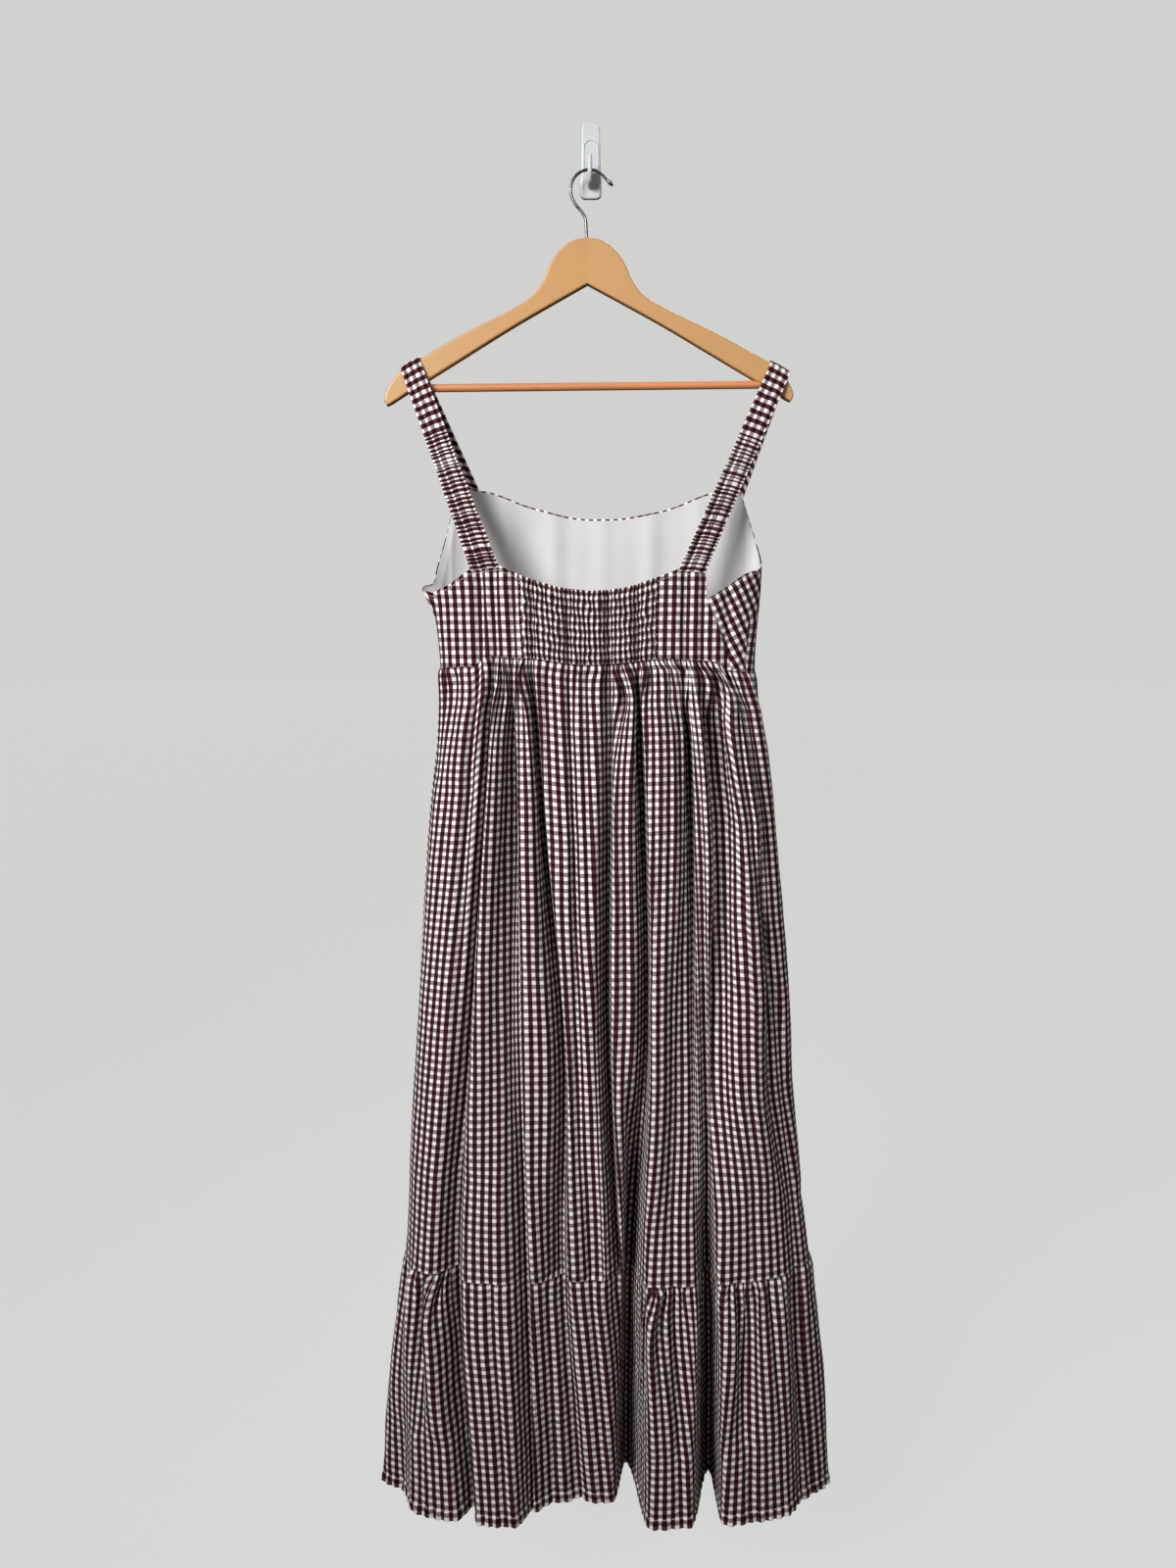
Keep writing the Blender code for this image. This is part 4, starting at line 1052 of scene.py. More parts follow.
def make_shirred_panel():
    sizes = bpy.context.scene.dress_sizes
    bands = sizes.shirring_rows
    rows = np.linspace(0.0, 1.0, bands * ROWS_PER_BAND + 1)

    def marks_at(part):
        return SHIRRED, between(BACK_TOP_LEVEL, WAIST_LEVEL, part)

    places, heights = plain_panel(rows, marks_at, (SHIRRED_COLUMNS,), back_top, waist)
    lift, turns = shirring(sizes, rows)
    points = on_body(places, heights, lift)
    # One check to a gather and one to a band: dark on the crown of each puff, pale between them.
    down = np.repeat(rows * bands, SHIRRED_COLUMNS + 1).reshape(len(rows), -1)
    # The puff stretches the pale part of each check, so its dark mark is small.
    turns = turns + DARK_SHARE * np.sin(2.0 * np.pi * turns)
    down = down - DARK_SHARE * np.sin(2.0 * np.pi * down)
    flat = np.stack([turns, down + 0.5], axis=-1) * sizes.check
    piece = shell("dress_bodice_back_shirred", points, sizes.cloth, flat, gingham())
    declare(piece, "bodice_back_shirred")


def bias_coordinates(flat, places, dart, side):
    """Cloth coordinates of the front, whose checks slant where it wraps past the right side.

    A dart parts two directions there, so there is one set up to its column and one past it."""
    from_side = flat[..., 0] - flat[:, side:side + 1, 0]
    base = flat[:, side, 0].mean()
    down = flat[..., 1]
    level = np.clip((places - 1.0) / (BIAS_END - 1.0), 0.0, 1.0)[..., None]
    wrapped = np.stack([base + from_side * math.cos(BIAS) - down * math.sin(BIAS),
                        from_side * math.sin(BIAS) + down * math.cos(BIAS)], axis=-1)
    below = np.clip((down[:, dart] - DART_POINT) / DART_TURNING, 0.0, 1.0)
    turn = BIAS + (DART_LEAN - BIAS) * below * below * (3.0 - 2.0 * below)
    drop = np.diff(down[:, dart], prepend=down[0, dart])
    start_u = wrapped[0, dart, 0] - np.cumsum(np.sin(turn) * drop)
    start_v = wrapped[0, dart, 1] + np.cumsum(np.cos(turn) * drop)
    past = flat[..., 0] - flat[:, dart:dart + 1, 0]
    past_dart = np.stack([start_u[:, None] + past * np.cos(turn)[:, None],
                          start_v[:, None] + past * np.sin(turn)[:, None]], axis=-1)
    return wrapped * (1.0 - level) + flat * level, past_dart * (1.0 - level) + flat * level


def front_cloth():
    """Places, heights, points and flat coordinates of the front, from the right side seam to the left."""
    straps = STRAP_FRONT["right"][::-1] + (FRONT_MIDDLE,) + STRAP_FRONT["left"][::-1]
    rows = np.linspace(0.0, 1.0, FRONT_ROWS)

    def marks_at(part):
        seam = seam_place(between(RIGHT_SEAM_TOP, RIGHT_SEAM_WAIST, part))
        return (seam, DART_PLACE, 1.0) + straps + (2.0,), between(FRONT_TOP_LEVEL, WAIST_LEVEL, part)

    places, heights = plain_panel(rows, marks_at, FRONT_COLUMNS, front_top, waist)
    points = on_body(places, heights)
    return places, heights, points, cloth_coordinates(points, places, FRONT_MIDDLE)


def make_front():
    places, _, points, flat = front_cloth()
    dart, side = np.cumsum(FRONT_COLUMNS[:2])
    wrapped, past_dart = bias_coordinates(flat, places, dart, side)
    points = underarm(points, places)
    cloth = bpy.context.scene.dress_sizes.cloth
    piece = shell("dress_bodice_front", points, cloth, wrapped, gingham(), past_dart, dart)
    declare(piece, "bodice_front")


def make_lining():
    """The lining lies inside the front, a little below its top edge, with soft upright wrinkles."""
    sizes = bpy.context.scene.dress_sizes
    places, heights, _, flat = front_cloth()
    below = heights[0] - heights
    low_heights = heights - LINING_BELOW * (1.0 - np.clip(below / LINING_BELOW_FADE, 0.0, 1.0))
    rng = np.random.default_rng(LINING_SEED)
    soft = sum(share * wander(flat.shape[1], reach, rng) for reach, share in LINING_WRINKLES)
    soft -= soft.min()
    wrinkle = LINING_WRINKLE * soft[None, :] * np.clip(below / LINING_SMOOTH_TOP, 0.0, 1.0)
    inside = (sizes.cloth + sizes.lining) / 2.0 + LINING_GAP
    points = underarm(on_body(places, low_heights, -inside - wrinkle), places)
    piece = shell("dress_bodice_lining", points, sizes.lining, flat, lining_material())
    declare(piece, "bodice_lining")


# Stitching

# The row of a panel's points that its edge is stitched along
EDGE_STITCHES = (("dress_bodice_back_left", 3), ("dress_bodice_back_right", 3), ("dress_bodice_front", 2))
THREAD_SIDES = 6


def stitch_tree():
    """Short threads set end to end along a line, each a six-sided rod."""
    tree = bpy.data.node_groups.new("stitches along a seam", "GeometryNodeTree")
    for label, kind in (("Seam", "Geometry"), ("Pitch", "Float"), ("Stitch", "Float"), ("Thread", "Float"),
                        ("Finish", "Material")):
        tree.interface.new_socket(label, in_out="INPUT", socket_type="NodeSocket" + kind)
    tree.interface.new_socket("Stitches", in_out="OUTPUT", socket_type="NodeSocketGeometry")
    given = tree.nodes.new("NodeGroupInput")
    result = tree.nodes.new("NodeGroupOutput")
    line = put(tree, "GeometryNodeMeshToCurve", i0=given.outputs["Seam"])
    spots = put(tree, "GeometryNodeCurveToPoints", {"mode": "LENGTH"}, Curve=line.outputs[0],
                Length=given.outputs["Pitch"])
    rod = put(tree, "GeometryNodeMeshCylinder", Vertices=THREAD_SIDES, Radius=given.outputs["Thread"],
              Depth=given.outputs["Stitch"])
    placed = put(tree, "GeometryNodeInstanceOnPoints", Points=spots.outputs["Points"],
                 Instance=rod.outputs["Mesh"], Rotation=spots.outputs["Rotation"])
    real = put(tree, "GeometryNodeRealizeInstances", i0=placed.outputs[0])
    finished = put(tree, "GeometryNodeSetMaterial", i0=real.outputs[0], Material=given.outputs["Finish"])
    tree.links.new(finished.outputs[0], result.inputs[0])
    return tree


def seam_line(name, row, lift):
    """Points just above one row of a piece's outer face."""
    piece = bpy.data.objects[name]
    count = len(piece.data.vertices)
    places = np.empty(count * 3, dtype=np.float32)
    piece.data.vertices.foreach_get("co", places)
    places = places.reshape(2, -1, piece["columns"], 3)
    out = places[0, row] - places[1, row]
    return places[0, row] + out / np.linalg.norm(out, axis=1, keepdims=True) * lift


def make_stitching():
    sizes = bpy.context.scene.dress_sizes
    lines = []
    for name in ("dress_ruffle_back", "dress_ruffle_front"):
        lines.append(seam_line(name, bpy.data.objects[name]["hem_row"], sizes.stitch_thread))
    for name, row in EDGE_STITCHES:
        lines.append(seam_line(name, row, sizes.stitch_thread))
    for band in range(1, sizes.shirring_rows):
        lines.append(seam_line("dress_bodice_back_shirred", band * ROWS_PER_BAND, sizes.stitch_thread))
    mesh = bpy.data.meshes.new("stitch lines")
    edges = []
    start = 0
    for line in lines:
        edges += [(start + index, start + index + 1) for index in range(len(line) - 1)]
        start += len(line)
    mesh.from_pydata(np.concatenate(lines).tolist(), edges, [])
    guide = bpy.data.objects.new("stitch lines", mesh)
    bpy.context.scene.collection.objects.link(guide)
    modifier = guide.modifiers.new("stitches", "NODES")
    tree = stitch_tree()
    modifier.node_group = tree
    values = {"Pitch": sizes.stitch_pitch, "Stitch": sizes.stitch, "Thread": sizes.stitch_thread,
              "Finish": thread_material()}
    for socket in tree.interface.items_tree:
        if socket.name in values:
            modifier[socket.identifier] = values[socket.name]
    bpy.context.view_layer.update()
    evaluated = guide.evaluated_get(bpy.context.evaluated_depsgraph_get())
    finished = bpy.data.meshes.new_from_object(evaluated)
    guide.modifiers.clear()
    guide.data = finished
    guide.name = "dress_stitching"
    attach(guide, BODY_NAME)


# Hanger

HANGER_TOP = (-0.004, -0.020, -0.0855)
HANGER_TILT = math.radians(0.6)
WOOD = 0.012
WOOD_EDGE = 0.002
# An arm's upper and lower edges, from the middle out to its tip: out, height
ARM_UPPER = ((0.00002, 0.0), (0.010, -0.0012), (0.020, -0.0050), (0.031, -0.0140), (0.040, -0.0260),
             (0.046, -0.0400), (0.053, -0.0515), (0.063, -0.0615), (0.077, -0.0700), (0.118, -0.0898),
             (0.146, -0.1035), (0.176, -0.1200), (0.199, -0.1325), (0.2115, -0.1445), (0.2190, -0.1570),
             (0.2215, -0.1665), (0.2185, -0.1715))
ARM_LOWER = ((0.2130, -0.1690), (0.1885, -0.1540), (0.170, -0.1433), (0.1295, -0.1195), (0.085, -0.0934),
             (0.00002, -0.0473))
ARM_POINTS = (72, 40)
# The left arm's wood is a little redder, so it has less green and still less blue.
ARM_TONES = {"left": 0.95, "right": 1.0}
ARM_GRAIN = math.radians(30.0)
WOOD_DARKER = 0.96
BAR_HEIGHT = -0.153
BAR_RADIUS = 0.00425
BAR_HALF = 0.197
BAR_RINGS = 30
BAR_DARKER = 0.85
# Width of the flat rim inside a rounded edge
FLAT_RIM = 0.0005
WIRE_RADIUS = 0.0016
# The wire hook's bend, from the wood up and round to its end: x, height
WIRE_PATH = ((-0.0045, -0.0848), (-0.0050, -0.0720), (-0.0060, -0.0640), (-0.0100, -0.0575),
             (-0.0155, -0.0515), (-0.0198, -0.0440), (-0.0214, -0.0365), (-0.0202, -0.0285),
             (-0.0160, -0.0215), (-0.0095, -0.0170), (-0.0022, -0.0153), (0.0050, -0.0163),
             (0.0115, -0.0200), (0.0175, -0.0258), (0.0237, -0.0316))
WIRE_RINGS = 90
# The bead at the wire's end, in radii of the wire
BEAD = (1.05, 1.25, 1.38, 1.38, 1.25, 0.95, 0.35)
# The wall hook's plate and the tongue below it: top, bottom, width at the top and the bottom, corner radius
PLATE = (0.0395, -0.0385, 0.0195, 0.0218, 0.0062)
PLATE_THICK = 0.0040
PLATE_EDGE = 0.0014
TONGUE = (-0.0130, -0.0400, 0.0230, 0.0230, 0.0055)
TONGUE_THICK = 0.0060
TONGUE_EDGE = 0.0022
ARCH_WIDE = 0.0150
ARCH_TOP = 0.0205
ARCH_FOOT = 0.002
ARCH_PROUD = 0.0008
# The prong's side view: out from the wall, height
PRONG = ((0.0030, -0.0120), (0.0100, -0.0172), (0.0172, -0.0185), (0.0200, -0.0179), (0.0222, -0.0160),
         (0.0232, -0.0100), (0.0240, -0.0020), (0.0262, -0.0010), (0.0276, -0.0030), (0.0275, -0.0130),
         (0.0258, -0.0215), (0.0205, -0.0280), (0.0120, -0.0300), (0.0030, -0.0300))
PRONG_WIDE = 0.0046
PRONG_EDGE = 0.0017
PRONG_MIDDLE = -0.0010

STRAP_ON_HANGER = {"left": (-0.2040, -0.1840), "right": (0.1930, 0.2140)}
# The part of a strap behind that is ruched, how deep it is sewn in, and its grid and seed
STRAP_RUCHED = 0.66
STRAP_SEWN = 0.002
STRAP_COLUMNS = 14
STRAP_PLAIN_ROWS = 25
STRAP_FRONT_ROWS = 20
STRAP_SEEDS = {"left": 51, "right": 52}
# How it wraps the wood: half its depth, the radius of the turn, its drop behind and the shoulder's slope
STRAP_WRAP = 0.0073
STRAP_WRAP_ROUND = 0.0033
STRAP_WRAP_STEPS = 7
STRAP_BEHIND = 0.036
STRAP_SLOPE = 0.54
# How far a strap's plain cloth is pulled
PLAIN_STRETCH = 0.86
# Tucks: rows in each, how they differ in spacing and strength, and how they slant, bow and wander
TUCK_STEPS = 6
TUCK_SPACING = (0.75, 1.25)
TUCK_STRENGTH = (0.45, 1.0)
TUCK_SLANT = 0.22
TUCK_BOW = 0.25
TUCK_WANDER = 0.12
TUCK_WANDER_REACH = 2.5
WIDE_TUCKS = {"left": (4,), "right": (13,)}
WIDE_TUCK = 1.8
# The tucks draw the strap's edges in and out.
RAGGED = 0.05
RAGGED_EVEN = 0.7
RAGGED_WANDER = 0.02
CHECK_WANDER = 0.22
CHECK_WANDER_REACH = 1.5
CHECKS_ACROSS = 3.0
STRAP_CURL = 0.0007
# A fold along the strap: how deep on each, how far up and across, how long and wide
FOLD_DEEP = {"left": 0.0003, "right": 0.0016}
FOLD_AT = 0.86
FOLD_LONG = 0.10
FOLD_ACROSS = 0.68
FOLD_WIDE = 0.10


def arm_top(x):
    """Height of the arm's upper edge at x."""
    side = 1.0 if x > HANGER_TOP[0] else -1.0
    upper = np.array(ARM_UPPER)
    across = side * upper[:, 0] * math.cos(HANGER_TILT) - upper[:, 1] * math.sin(HANGER_TILT)
    height = side * upper[:, 0] * math.sin(HANGER_TILT) + upper[:, 1] * math.cos(HANGER_TILT)
    return HANGER_TOP[2] + np.interp(side * (x - HANGER_TOP[0]), side * across, height)


def strap_rest(across):
    """Heights of a straight sloped line that just clears the wood."""
    inner = min(abs(across[0]), abs(across[-1]))
    samples = np.linspace(across[0], across[-1], 25)
    wood = np.array([arm_top(x) for x in samples])
    lift = np.max(wood + STRAP_SLOPE * (np.abs(samples) - inner))
    return lift - STRAP_SLOPE * (np.abs(across) - inner)


def shared_between(level, marks, count):
    """Places shared out evenly between two marks, half a seam inside them."""
    fine, lengths = girth(marks, level)
    return np.interp(np.linspace(SEAM / 2.0, lengths[-1] - SEAM / 2.0, count + 1), lengths, fine)


def strap_ends(side):
    """Points across the strap where it is sewn to the back and to the front."""
    back = shared_between(BACK_TOP_LEVEL, np.array(STRAP_BACK[side]), STRAP_COLUMNS)
    front = shared_between(FRONT_TOP_LEVEL, np.array(STRAP_FRONT[side][::-1]), STRAP_COLUMNS)[::-1]
    return on_body(back, back_top(back) - STRAP_SEWN), on_body(front, front_top(front) - STRAP_SEWN)


def strap_wrap(side, parts):
    """Rows of points round the top of the arm, from the room's side to the wall's."""
    on_wood = np.interp(parts, (0.0, 1.0), STRAP_ON_HANGER[side])
    top = strap_rest(on_wood)
    corner = STRAP_WRAP - STRAP_WRAP_ROUND
    bend = []
    for turn in np.radians(np.linspace(0.0, 90.0, STRAP_WRAP_STEPS)):
        up = STRAP_WRAP_ROUND * math.sin(turn) - WOOD_EDGE
        bend.append((-corner - STRAP_WRAP_ROUND * math.cos(turn), up))
    bend += [(-out, up) for out, up in bend[::-1]]
    steep = math.hypot(1.0, STRAP_SLOPE)
    return [np.stack([on_wood, np.full(len(parts), HANGER_TOP[1] + out), top + up * steep], axis=-1)
            for out, up in bend]


def strap_course(start, wrap, end, stops):
    """Rows of points up the back at the stops, over the wood and down to the front's edge."""
    rows = [start + (wrap[0] - start) * part for part in stops] + wrap
    share = STRAP_BEHIND / (wrap[-1][:, 2] - end[:, 2]).mean()
    behind = wrap[-1] + (end - wrap[-1]) * share
    behind[:, 1] = wrap[-1][:, 1]
    rows += [wrap[-1] + (behind - wrap[-1]) * part for part in (0.33, 0.66, 1.0)]
    rows += [behind + (end - behind) * part for part in np.linspace(0.0, 1.0, STRAP_FRONT_ROWS)[1:]]
    return np.array(rows)


def tuck_ridges(number, tucks, strength, parts, rng):
    """How far the tucks stand up, each a little slanted and bowed."""
    slant = rng.uniform(-TUCK_SLANT, TUCK_SLANT, tucks + 1)
    bow = rng.uniform(-TUCK_BOW, TUCK_BOW, tucks + 1)
    inside = np.minimum(number.astype(int), tucks - 1)
    across = parts - 0.5
    turned = number[:, None] + slant[inside][:, None] * across + bow[inside][:, None] * (0.25 - across ** 2)
    ends = np.clip(np.minimum(number, tucks - number), 0.0, 1.0)[:, None]
    ridge = np.sin(np.pi * turned) ** 2 * strength[inside][:, None] * ends
    return ridge + TUCK_WANDER * wander(len(number), TUCK_STEPS * TUCK_WANDER_REACH, rng)[:, None]


def make_strap(side):
    sizes = bpy.context.scene.dress_sizes
    parts = np.linspace(0.0, 1.0, STRAP_COLUMNS + 1)
    start, end = strap_ends(side)
    wrap = strap_wrap(side, parts)
    length = float(np.linalg.norm((wrap[0] - start).mean(axis=0)))
    tucks = round(STRAP_RUCHED * length / sizes.ruche)
    rng = np.random.default_rng(STRAP_SEEDS[side])
    spacing = rng.uniform(*TUCK_SPACING, tucks)
    spacing[list(WIDE_TUCKS[side])] = WIDE_TUCK
    tuck_stops = np.concatenate([[0.0], np.cumsum(spacing)]) / spacing.sum() * STRAP_RUCHED
    number = np.arange(TUCK_STEPS * tucks + 1) / TUCK_STEPS
    ruched = len(number)
    plain = np.linspace(STRAP_RUCHED, 1.0, STRAP_PLAIN_ROWS + 1)[1:-1]
    stops = np.concatenate([np.interp(number, np.arange(tucks + 1), tuck_stops), plain])
    points = strap_course(start, wrap, end, stops)
    out = np.cross(np.gradient(points, axis=1), np.gradient(points, axis=0))
    out /= np.linalg.norm(out, axis=-1, keepdims=True)
    if out[0, 0, 1] > 0.0:
        out = -out
    strength = rng.uniform(*TUCK_STRENGTH, tucks + 1)
    ridge = np.zeros(points.shape[:2])
    ridge[:ruched] = tuck_ridges(number, tucks, strength, parts, rng)
    curl = np.tile(STRAP_CURL * np.sin(np.pi * parts), (len(points), 1))
    length_fold = FOLD_DEEP[side] * np.exp(-((stops - FOLD_AT) / FOLD_LONG) ** 2)
    curl[:len(stops)] += length_fold[:, None] * np.exp(-((parts - FOLD_ACROSS) / FOLD_WIDE) ** 2)
    points = points + out * (ridge * sizes.ruche_puff + curl)[..., None]
    inside = np.minimum(number.astype(int), tucks - 1)
    ragged = np.ones((len(points), 1, 1))
    ragged[:ruched, 0, 0] += RAGGED * (strength[inside] - RAGGED_EVEN) * np.sin(np.pi * number) ** 2
    ragged[:ruched, 0, 0] += RAGGED_WANDER * wander(ruched, TUCK_STEPS, rng)
    middle = points.mean(axis=1, keepdims=True)
    points = middle + (points - middle) * ragged
    # In the ruched part each tuck's crown is a dark band of the check.
    shift = CHECK_WANDER * wander(ruched, TUCK_STEPS * CHECK_WANDER_REACH, rng)
    tucked = (number + 0.5 + shift) * sizes.check
    down = np.linalg.norm(np.diff(points, axis=0), axis=-1).mean(axis=1) * PLAIN_STRETCH
    along = np.concatenate([tucked, tucked[-1] + np.cumsum(down[ruched - 1:])])
    along = along - along[0]
    # The strap is cut across the cloth, so its stronger bands run from edge to edge.
    across = (parts - 0.5) * CHECKS_ACROSS * sizes.check
    flat = np.stack([np.repeat(along + 0.5 * sizes.check, len(parts)).reshape(-1, len(parts)),
                     np.tile(across, (len(points), 1))], axis=-1)
    if np.cross(np.gradient(points, axis=0), np.gradient(points, axis=1))[5, 5, 1] > 0.0:
        points = points[:, ::-1]
        flat = flat[:, ::-1]
    piece = shell("dress_strap_" + side, points, sizes.strap, flat, gingham())
    declare(piece, "strap_" + side)


def smooth_path(points, count):
    """Evenly spaced points on a smooth path through the given ones."""
    points = np.array(points, dtype=float)
    spans = np.concatenate([[0.0], np.cumsum(np.linalg.norm(np.diff(points, axis=0), axis=1))])
    at = np.linspace(0.0, spans[-1], count)
    return np.stack([smooth(at, spans, points[:, axis]) for axis in (0, 1)], axis=-1)


def rounded_slab(outline, thick, rounding, upright=()):
    """Rings of a slab with rounded edges; at the upright corners it is rounded up and down only."""
    along = np.roll(outline, -1, axis=0) - np.roll(outline, 1, axis=0)
    normal = np.stack([along[:, 1], -along[:, 0]], axis=-1)
    normal /= np.linalg.norm(normal, axis=1, keepdims=True)
    ahead = np.roll(outline, -1, axis=0)
    area = (outline[:, 0] * ahead[:, 1] - ahead[:, 0] * outline[:, 1]).sum()
    normal *= np.sign(area)
    for corner in upright:
        normal[corner] = (0.0, math.copysign(1.0, normal[corner, 1]))
    half = [(rounding + FLAT_RIM, -thick / 2.0)]
    for turn in np.radians(np.linspace(0.0, 90.0, 5)):
        half.append((rounding * (1.0 - math.sin(turn)), rounding * (1.0 - math.cos(turn)) - thick / 2.0))
    profile = half + [(inset, -depth) for inset, depth in half[::-1]]
    rings = []
    for inset, depth in profile:
        spots = outline - normal * inset
        rings.append(np.stack([spots[:, 0], np.full(len(outline), depth), spots[:, 1]], axis=-1))
    return np.array(rings)


def tube(path, radii, sides, depth):
    """Rings round a path in a plane that faces the room."""
    along = np.gradient(path, axis=0)
    along /= np.linalg.norm(along, axis=1, keepdims=True)
    turns = np.linspace(0.0, 2.0 * np.pi, sides, endpoint=False)
    rings = []
    for spot, (east, up), radius in zip(path, along, radii):
        across = radius * np.cos(turns)
        x = spot[0] - up * across
        height = spot[1] + east * across
        rings.append(np.stack([x, depth + radius * np.sin(turns), height], axis=-1))
    return np.array(rings)


def ringed(name, bodies, material, node):
    """One piece from bodies made of rings, each closed at both ends."""
    verts = []
    faces = []
    for rings in bodies:
        start = len(verts)
        count = rings.shape[1]
        verts += rings.reshape(-1, 3).tolist()
        for ring in range(len(rings) - 1):
            low = start + ring * count
            for index in range(count):
                ahead = (index + 1) % count
                faces.append((low + index, low + ahead, low + count + ahead, low + count + index))
        faces.append(tuple(range(start + count - 1, start - 1, -1)))
        faces.append(tuple(range(len(verts) - count, len(verts))))
    mesh = bpy.data.meshes.new(name)
    mesh.from_pydata(verts, [], faces)
    whole = bmesh.new()
    whole.from_mesh(mesh)
    bmesh.ops.recalc_face_normals(whole, faces=whole.faces[:])
    whole.to_mesh(mesh)
    whole.free()
    mesh.shade_smooth()
    mesh.set_sharp_from_angle(angle=HARD_SHARP)
    mesh.materials.append(material)
    item = bpy.data.objects.new(name, mesh)
    bpy.context.scene.collection.objects.link(item)
    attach(item, BODY_NAME)
    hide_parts(node)


def on_hanger(rings, height=0.0):
    """Tilts rings about the top of the hanger's middle and sets them there."""
    x = rings[..., 0] * math.cos(HANGER_TILT) - (rings[..., 2] + height) * math.sin(HANGER_TILT)
    z = rings[..., 0] * math.sin(HANGER_TILT) + (rings[..., 2] + height) * math.cos(HANGER_TILT)
    return np.stack([x, rings[..., 1], z], axis=-1) + np.array(HANGER_TOP)


def make_hanger():
    colours = bpy.context.scene.dress_colours
    red, green, blue, _ = colours.wood
    for side, sign in (("left", -1.0), ("right", 1.0)):
        edges = [smooth_path(edge, count) for edge, count in zip((ARM_UPPER, ARM_LOWER), ARM_POINTS)]
        outline = np.concatenate(edges)
        outline[:, 0] *= sign
        arm = on_hanger(rounded_slab(outline, WOOD, WOOD_EDGE, (0, len(outline) - 1)))
        share = ARM_TONES[side]
        tone = (red * (0.5 + 0.5 * share), green * share, blue * share * share, 1.0)
        material = wood_material("varnished beech " + side, tone, duller(tone, WOOD_DARKER), 0.42,
                                 sign * ARM_GRAIN)
        ringed("wooden_arm_" + side, [arm], material, "hanger_arm_" + side)
    bar = tuple(colours.bar)
    path = np.array([(x, 0.0) for x in np.linspace(-BAR_HALF, BAR_HALF, BAR_RINGS)])
    rod = on_hanger(tube(path, np.full(BAR_RINGS, BAR_RADIUS), 24, 0.0), BAR_HEIGHT)
    material = wood_material("stained dowel", bar, duller(bar, BAR_DARKER), 0.45, 0.0)
    ringed("wooden_bar", [rod], material, "hanger_bar")


def rounded_plate(top, bottom, wide_top, wide_bottom, radius):
    """An outline with rounded corners, from its lower right corner upward."""
    outline = []
    for x, z, start in ((wide_bottom / 2.0, bottom, -90.0), (wide_top / 2.0, top, 0.0),
                        (-wide_top / 2.0, top, 90.0), (-wide_bottom / 2.0, bottom, 180.0)):
        middle_x = x - math.copysign(radius, x)
        middle_z = z + (radius if z == bottom else -radius)
        for turn in np.radians(start + np.linspace(0.0, 90.0, 9)):
            outline.append((middle_x + radius * math.cos(turn), middle_z + radius * math.sin(turn)))
    return np.array(outline)


def on_wall(shape, thick, edge):
    """A rounded plate whose back lies on the wall."""
    plate = rounded_slab(rounded_plate(*shape), thick, edge)
    plate[..., 1] -= thick / 2.0
    return plate


def make_wire_hook():
    wire = smooth_path(WIRE_PATH, WIRE_RINGS)
    radii = np.full(len(wire), WIRE_RADIUS)
    radii[-len(BEAD):] *= np.array(BEAD)
    ringed("hook_wire", [tube(wire, radii, 16, HANGER_TOP[1])], chrome_material(), "hanger_hook")


def make_wall_hook():
    """Its plate with a raised arch, the tongue, and the prong that carries the wire."""
    radius = ARCH_WIDE / 2.0
    bend = [(radius * math.cos(turn), ARCH_TOP - radius + radius * math.sin(turn))
            for turn in np.radians(np.linspace(0.0, 180.0, 25))]
    foot = TONGUE[0] - ARCH_FOOT
    arch = smooth_path([(radius, foot)] + bend + [(-radius, foot)], 60)
    rim = tube(arch, np.full(len(arch), ARCH_PROUD), 12, -PLATE_THICK)
    side = rounded_slab(smooth_path(PRONG + PRONG[:1], 90)[:-1], PRONG_WIDE, PRONG_EDGE)
    prong = np.stack([side[..., 1] + PRONG_MIDDLE, -side[..., 0], side[..., 2]], axis=-1)
    bodies = [on_wall(PLATE, PLATE_THICK, PLATE_EDGE), on_wall(TONGUE, TONGUE_THICK, TONGUE_EDGE), rim, prong]
    ringed("hook_plate", bodies, plastic_material(), "wall_hook")


# The stage

LAMP_AIM = Vector((0.0, -0.08, -0.42))
# Lamps: where they stand, and their width
LAMPS = {"window": ((-1.50, -2.10, 0.50), 1.3), "fill": ((2.2, -2.6, 0.2), 2.5),
         "behind": ((1.3, 2.7, 1.9), 1.6)}
SENSOR = 36.0


def make_floor(stage):
    """A pale floor below the hem. The glow that the camera sees makes it as pale as the backdrop."""
    bpy.ops.mesh.primitive_circle_add(vertices=96, radius=stage.floor_radius, fill_type="NGON",
                                      location=(0, 0, HEM - stage.clearance))
    floor = bpy.context.object
    floor.name = "floor"
    material, tree, shader = shaded("pale floor", 0.9)
    seen = put(tree, "ShaderNodeLightPath").outputs["Is Camera Ray"]
    shader.inputs["Base Color"].default_value = tuple(stage.floor_colour)
    shader.inputs["Emission Color"].default_value = tuple(stage.world_colour)
    tree.links.new(times(tree, seen, stage.floor_glow), shader.inputs["Emission Strength"])
    floor.data.materials.append(material)


def light_surroundings(stage):
    """Even light all round, and a paler backdrop where the camera looks."""
    world = bpy.context.scene.world or bpy.data.worlds.new("studio")
    bpy.context.scene.world = world
    world.use_nodes = True
    sky = world.node_tree
    background = sky.nodes["Background"]
    background.inputs["Color"].default_value = tuple(stage.world_colour)
    seen = put(sky, "ShaderNodeLightPath").outputs["Is Camera Ray"]
    brighter = stage.backdrop - stage.world_strength
    strength = maths(sky, "MULTIPLY_ADD", seen, brighter, stage.world_strength)
    sky.links.new(strength, background.inputs["Strength"])


